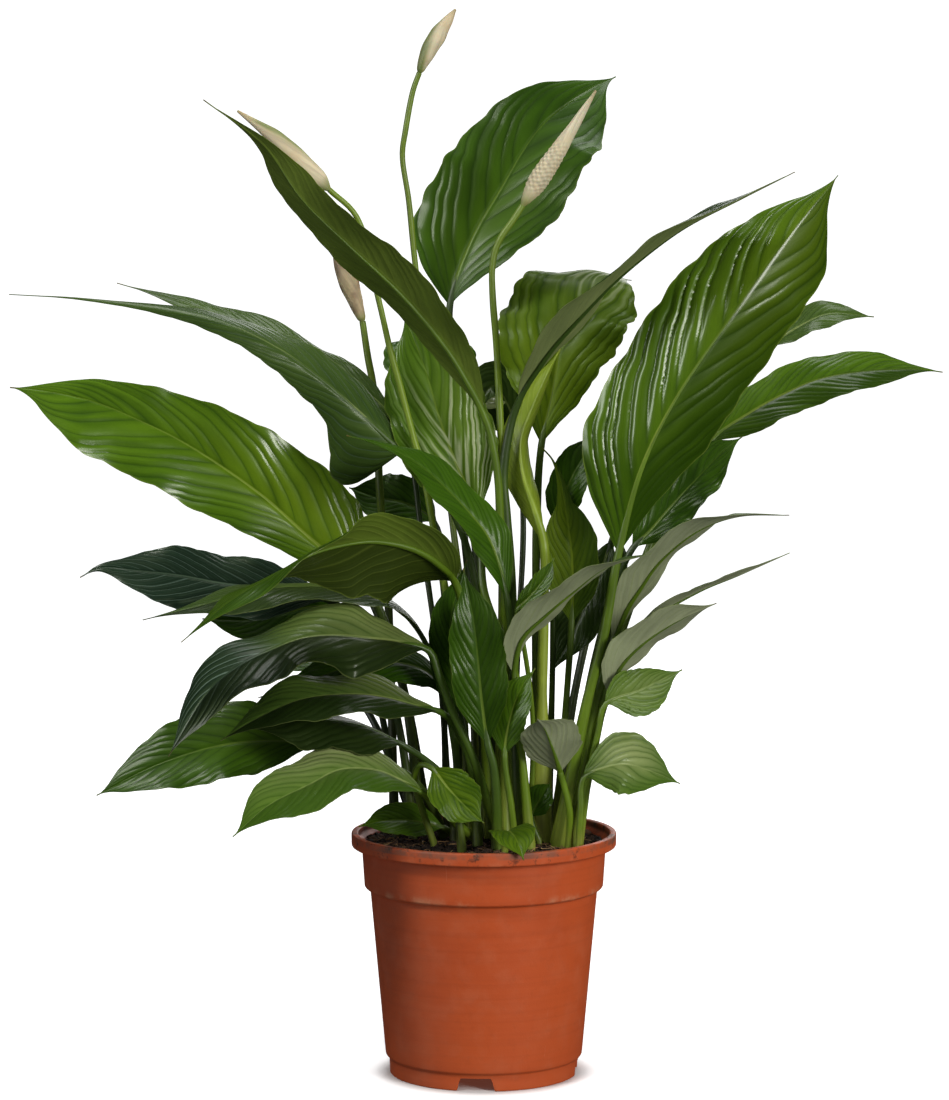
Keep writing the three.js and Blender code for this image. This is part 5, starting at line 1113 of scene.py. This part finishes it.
# Crumbs are no larger than largest, and their sizes follow a gamma distribution over the smallest.
peatShape = dict(rings=84, sides=220, roughness=0.35, crumbs=2400, quickCrumbs=500, fibres=240,
                 quickFibres=60, smallest=0.5, largest=2.9, skirt=9)


# The peat: its ground over rings that lie closer towards the wall, with random roughness added and
# a skirt down the wall, then crumbs and fibres on it.
def addPeat(material, fibre):
    maker = np.random.default_rng(seeds["peat"])
    rings, sides = peatShape["rings"], peatShape["sides"]
    radius = soilRadius * np.linspace(0.004, 1, rings)[:, None] ** 0.8
    angle = turnsOf(sides)[None]
    x, y = radius * np.cos(angle), radius * np.sin(angle)
    rough = maker.normal(0, peatShape["roughness"], (rings, sides))
    rough = rough + np.roll(rough, 1, 1) + np.roll(rough, 1, 0)
    grid = np.stack([x, y, groundHeight(x, y) + rough * 0.7], -1)
    skirt = grid[-1:] * [0.985, 0.985, 1] - [0, 0, peatShape["skirt"]]
    builder = Builder()
    builder.add(np.concatenate([grid, skirt]), 0, closed=True, tone=0.0)
    for _ in range(peatShape["crumbs"]):
        place = placeWithin(soilRadius * 0.985, maker)
        size = peatShape["smallest"] + maker.gamma(1.8, 0.42)
        addCrumb(builder, place, min(size, peatShape["largest"]), maker)
    for _ in range(peatShape["fibres"]):
        addFibre(builder, maker)
    return builder.build("peat_fine", [material, fibre], 60)


# A random place in a circle, as likely in any part of its area.
def placeWithin(radius, maker):
    reach = radius * maker.uniform() ** 0.5
    turn = maker.uniform(0, 2 * np.pi)
    return np.array([reach * np.cos(turn), reach * np.sin(turn)])


# The ground's height: it falls with the square of the distance from the axis, rises by a smooth step
# at the wall, and has lumps from two products of sine waves.
def groundHeight(x, y):
    reach = np.hypot(x, y) / soilRadius
    lumps = 0.7 * np.sin(x / 9 + 1) * np.sin(y / 7 + 2) + 0.5 * np.sin(x / 4.3) * np.cos(y / 5.1)
    return soilHeight + 1.2 - 3.2 * reach ** 2 + lumps + 2.2 * smoothStep(0.93, 1.0, reach)


# A crumb: a small ball of five rings, pushed in and out at random, stretched one way and flattened.
def addCrumb(builder, place, size, maker):
    rings, sides = 5, 7
    tilt = np.linspace(0.06, np.pi - 0.06, rings)[:, None]
    turn = (turnsOf(sides) + maker.uniform(0, 6))[None]
    radius = size * (1 + maker.normal(0, 0.2, (rings, sides)))
    x = radius * np.sin(tilt) * np.cos(turn) * maker.uniform(0.8, 1.5)
    y = radius * np.sin(tilt) * np.sin(turn)
    z = radius * np.cos(tilt) * 0.75
    ground = groundHeight(*place) + size * maker.uniform(-0.1, 0.55)
    grid = np.stack([x + place[0], y + place[1], z + ground], -1)
    builder.add(grid, 0, closed=True, flipped=True, tone=maker.uniform() ** 3)


# A fibre: a thin bent thread that lies on the peat and stays inside the pot.
def addFibre(builder, maker):
    place = placeWithin(soilRadius * 0.93, maker)
    heading = maker.uniform(0, 2 * np.pi)
    points = []
    for _ in range(5):
        place = place / max(1, np.hypot(*place) / (soilRadius * 0.96))
        points.append([*place, groundHeight(*place) + maker.uniform(0.6, 2.4)])
        heading += maker.normal(0, 0.5)
        place = place + maker.uniform(1.2, 4.5) * np.array([np.cos(heading), np.sin(heading)])
    walk = Walk(points, 4)
    rings = 12
    lengths = np.linspace(0, walk.total, rings)
    tangent = walk.tangent(lengths, 0.6)
    face = squared(np.array([0, 0, 1.0]) + 0 * tangent, tangent)
    radii = maker.uniform(0.14, 0.42) * np.sin(np.linspace(0.25, np.pi - 0.2, rings))
    grid = tubeGrid(walk.at(lengths), tangent, face, radii, 5)
    builder.add(grid, 1, closed=True, tone=maker.uniform())


bladeLooks = {name: bladeLook(name, look) for name, look in leafLooks.items()}
stalkLooks = {
    "green": stalkLook("green", (138, 152, 56), (104, 132, 22), (84, 112, 18)),
    "dark": stalkLook("dark", (104, 122, 42), (70, 96, 18), (54, 80, 16)),
    "pale": stalkLook("pale", (178, 188, 82), (166, 182, 62), (130, 154, 34)),
    "flower": stalkLook("flower", (134, 150, 48), (122, 148, 26), (110, 134, 34)),
}
# The stalk that goes with each look of a blade, green where none is given.
stalkOf = {"young": "pale", "deep": "dark", "dusky": "dark", "bluish": "dark", "olive": "green"}

print("leaf and stalk materials", len(bladeLooks) + len(stalkLooks))

for index, leaf in enumerate(leaves):
    materials = [bladeLooks[leaf["look"]], stalkLooks[stalkOf.get(leaf["look"], "green")]]
    piece = addLeaf(leaf, seeds["leaf"] + seeds["leafStep"] * index, materials)
    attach(piece, "root")
    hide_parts(leaf["name"])
print("leaves", len(leaves))

for index, flower in enumerate(flowers):
    stalk = addFlowerStalk(flower, seeds["flowerStalk"] + index, [stalkLooks["flower"]])
    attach(stalk, "root")
    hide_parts("flower_stalk_" + flower["name"])
    petal = spatheLook(flower["name"], flower["cream"], flower["blush"])
    spathe = addSpathe(flower, seeds["spathe"] + index, [petal])
    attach(spathe, "root")
    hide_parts("spathe_" + flower["name"])
print("flowers", len(flowers))

pot = addPot(potLook())
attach(pot, "root")
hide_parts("pot")
peat = addPeat(peatLook(), fibreLook())
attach(peat, "root")
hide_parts("soil")
print("pot and peat")


# The paper's shape is in millimetres. Its glow is in metres from the pot's axis: dark under the pot,
# which is a painted shadow, brighter round it and near white far away.
paper = dict(halfWidth=12000, front=-12000, wallAt=7600, bend=1200, top=2400,
             level=244, dark=(0.01, 0.06), near=(0.6, 0.074, 0.5), far=(0.97, 2.4))


# White paper that glows by its distance from the pot's axis, with a painted shadow under the pot.
def stageLook(name, level):
    made = Look(name, Specular_IOR_Level=0.1, Emission_Strength=1.0)
    place = made.place()
    side, deep = made.separated(place, "X"), made.separated(place, "Y")
    away = (side * side + deep * deep).power(0.5)
    paintedShadow, paintedShadowReach = paper["dark"]
    near, nearStart, nearReach = paper["near"]
    far, farReach = paper["far"]
    shine = made.mix(away.smooth(nearReach, farReach), (near, near, near, 1), (far, far, far, 1))
    # Painted shadow: the paper under the pot has almost no glow.
    shine = made.mix(away.smooth(paintedShadowReach, nearStart), (paintedShadow, paintedShadow, paintedShadow, 1), shine)
    tint = made.mix(made.noise(place, 3.0) * 0.5, display(level, level, level),
                    display(level - 4, level - 3, level - 2))
    return made.finish(Base_Color=tint, Roughness=0.7 + made.noise(place, 40.0) * 0.1,
                       Emission_Color=shine)


# A floor that turns up into a wall behind the plant along a quarter circle, so that no edge shows.
def addStage():
    wallAt, bend = paper["wallAt"], paper["bend"]
    floor = [[paper["front"], 0], [-2000, 0], [0, 0], [2000, 0], [wallAt - bend, 0]]
    turn = np.linspace(0, np.pi / 2, 24)[1:]
    curve = [[wallAt - bend + bend * math.sin(a), bend - bend * math.cos(a)] for a in turn]
    outline = np.array(floor + curve + [[wallAt, paper["top"]]])
    x = np.linspace(-paper["halfWidth"], paper["halfWidth"], 40)[None]
    grid = np.stack(np.broadcast_arrays(x, outline[:, 0][:, None], outline[:, 1][:, None]), -1)
    builder = Builder()
    builder.add(grid, 0)
    return builder.build("floor", [stageLook("floor_paper", paper["level"])])


# The paper is only seen behind the plant: it neither lights the plant nor shows in its gloss.
floor = addStage()
floor.visible_diffuse = False
floor.visible_glossy = False


# A rectangular lamp that looks at a target. One for gloss alone shows only in reflections.
def addLight(name, place, target, size, power, tint=(1, 1, 1), glossOnly=False):
    data = bpy.data.lights.new(name, "AREA")
    data.shape = "RECTANGLE"
    data.size, data.size_y = size
    data.energy = power
    data.color = tint
    light = bpy.data.objects.new(name, data)
    light.location = place
    aim = Vector(target) - Vector(place)
    light.rotation_euler = aim.to_track_quat("-Z", "Y").to_euler()
    light.visible_diffuse = not glossOnly
    bpy.context.scene.collection.objects.link(light)


addLight("left_high", (-0.95, -1.15, 1.95), (0, 0, 0.42), (0.5, 0.5), 17, (1, 0.99, 0.95))
addLight("above", (0.1, 0.35, 1.9), (0, 0, 0.4), (1.0, 0.5), 10)
addLight("right_front", (1.3, -1.5, 0.75), (0, 0, 0.2), (0.5, 0.8), 23.5, (1, 0.98, 0.94))
addLight("behind", (0.6, 1.9, 1.1), (0, 0, 0.35), (1.2, 1.2), 13)
addLight("gloss_left", (-1.5, -0.9, 1.1), (0, 0, 0.4), (0.6, 1.5), 26, glossOnly=True)

world = bpy.data.worlds.new("studio")
bpy.context.scene.world = world
world.use_nodes = True
background = world.node_tree.nodes["Background"]
background.inputs["Color"].default_value = (0.94, 0.97, 1.0, 1)
background.inputs["Strength"].default_value = 0.22
world.cycles_visibility.glossy = False

# The photograph is 1100 pixels high, and its focal length is in its pixels.
view = dict(place=(-0.006, -2.43, 0.567), down=5.4, focal=3829, frame=1100, sensor=36)
cameraData = bpy.data.cameras.new("camera")
cameraData.sensor_width = view["sensor"]
cameraData.lens = view["focal"] / view["frame"] * view["sensor"]
cameraData.clip_end = 100
camera = bpy.data.objects.new("camera", cameraData)
camera.location = view["place"]
camera.rotation_euler = (math.radians(90 - view["down"]), 0, 0)
bpy.context.scene.collection.objects.link(camera)
bpy.context.scene.camera = camera
bpy.context.scene.view_settings.view_transform = "Standard"
print("paper, lamps and camera")
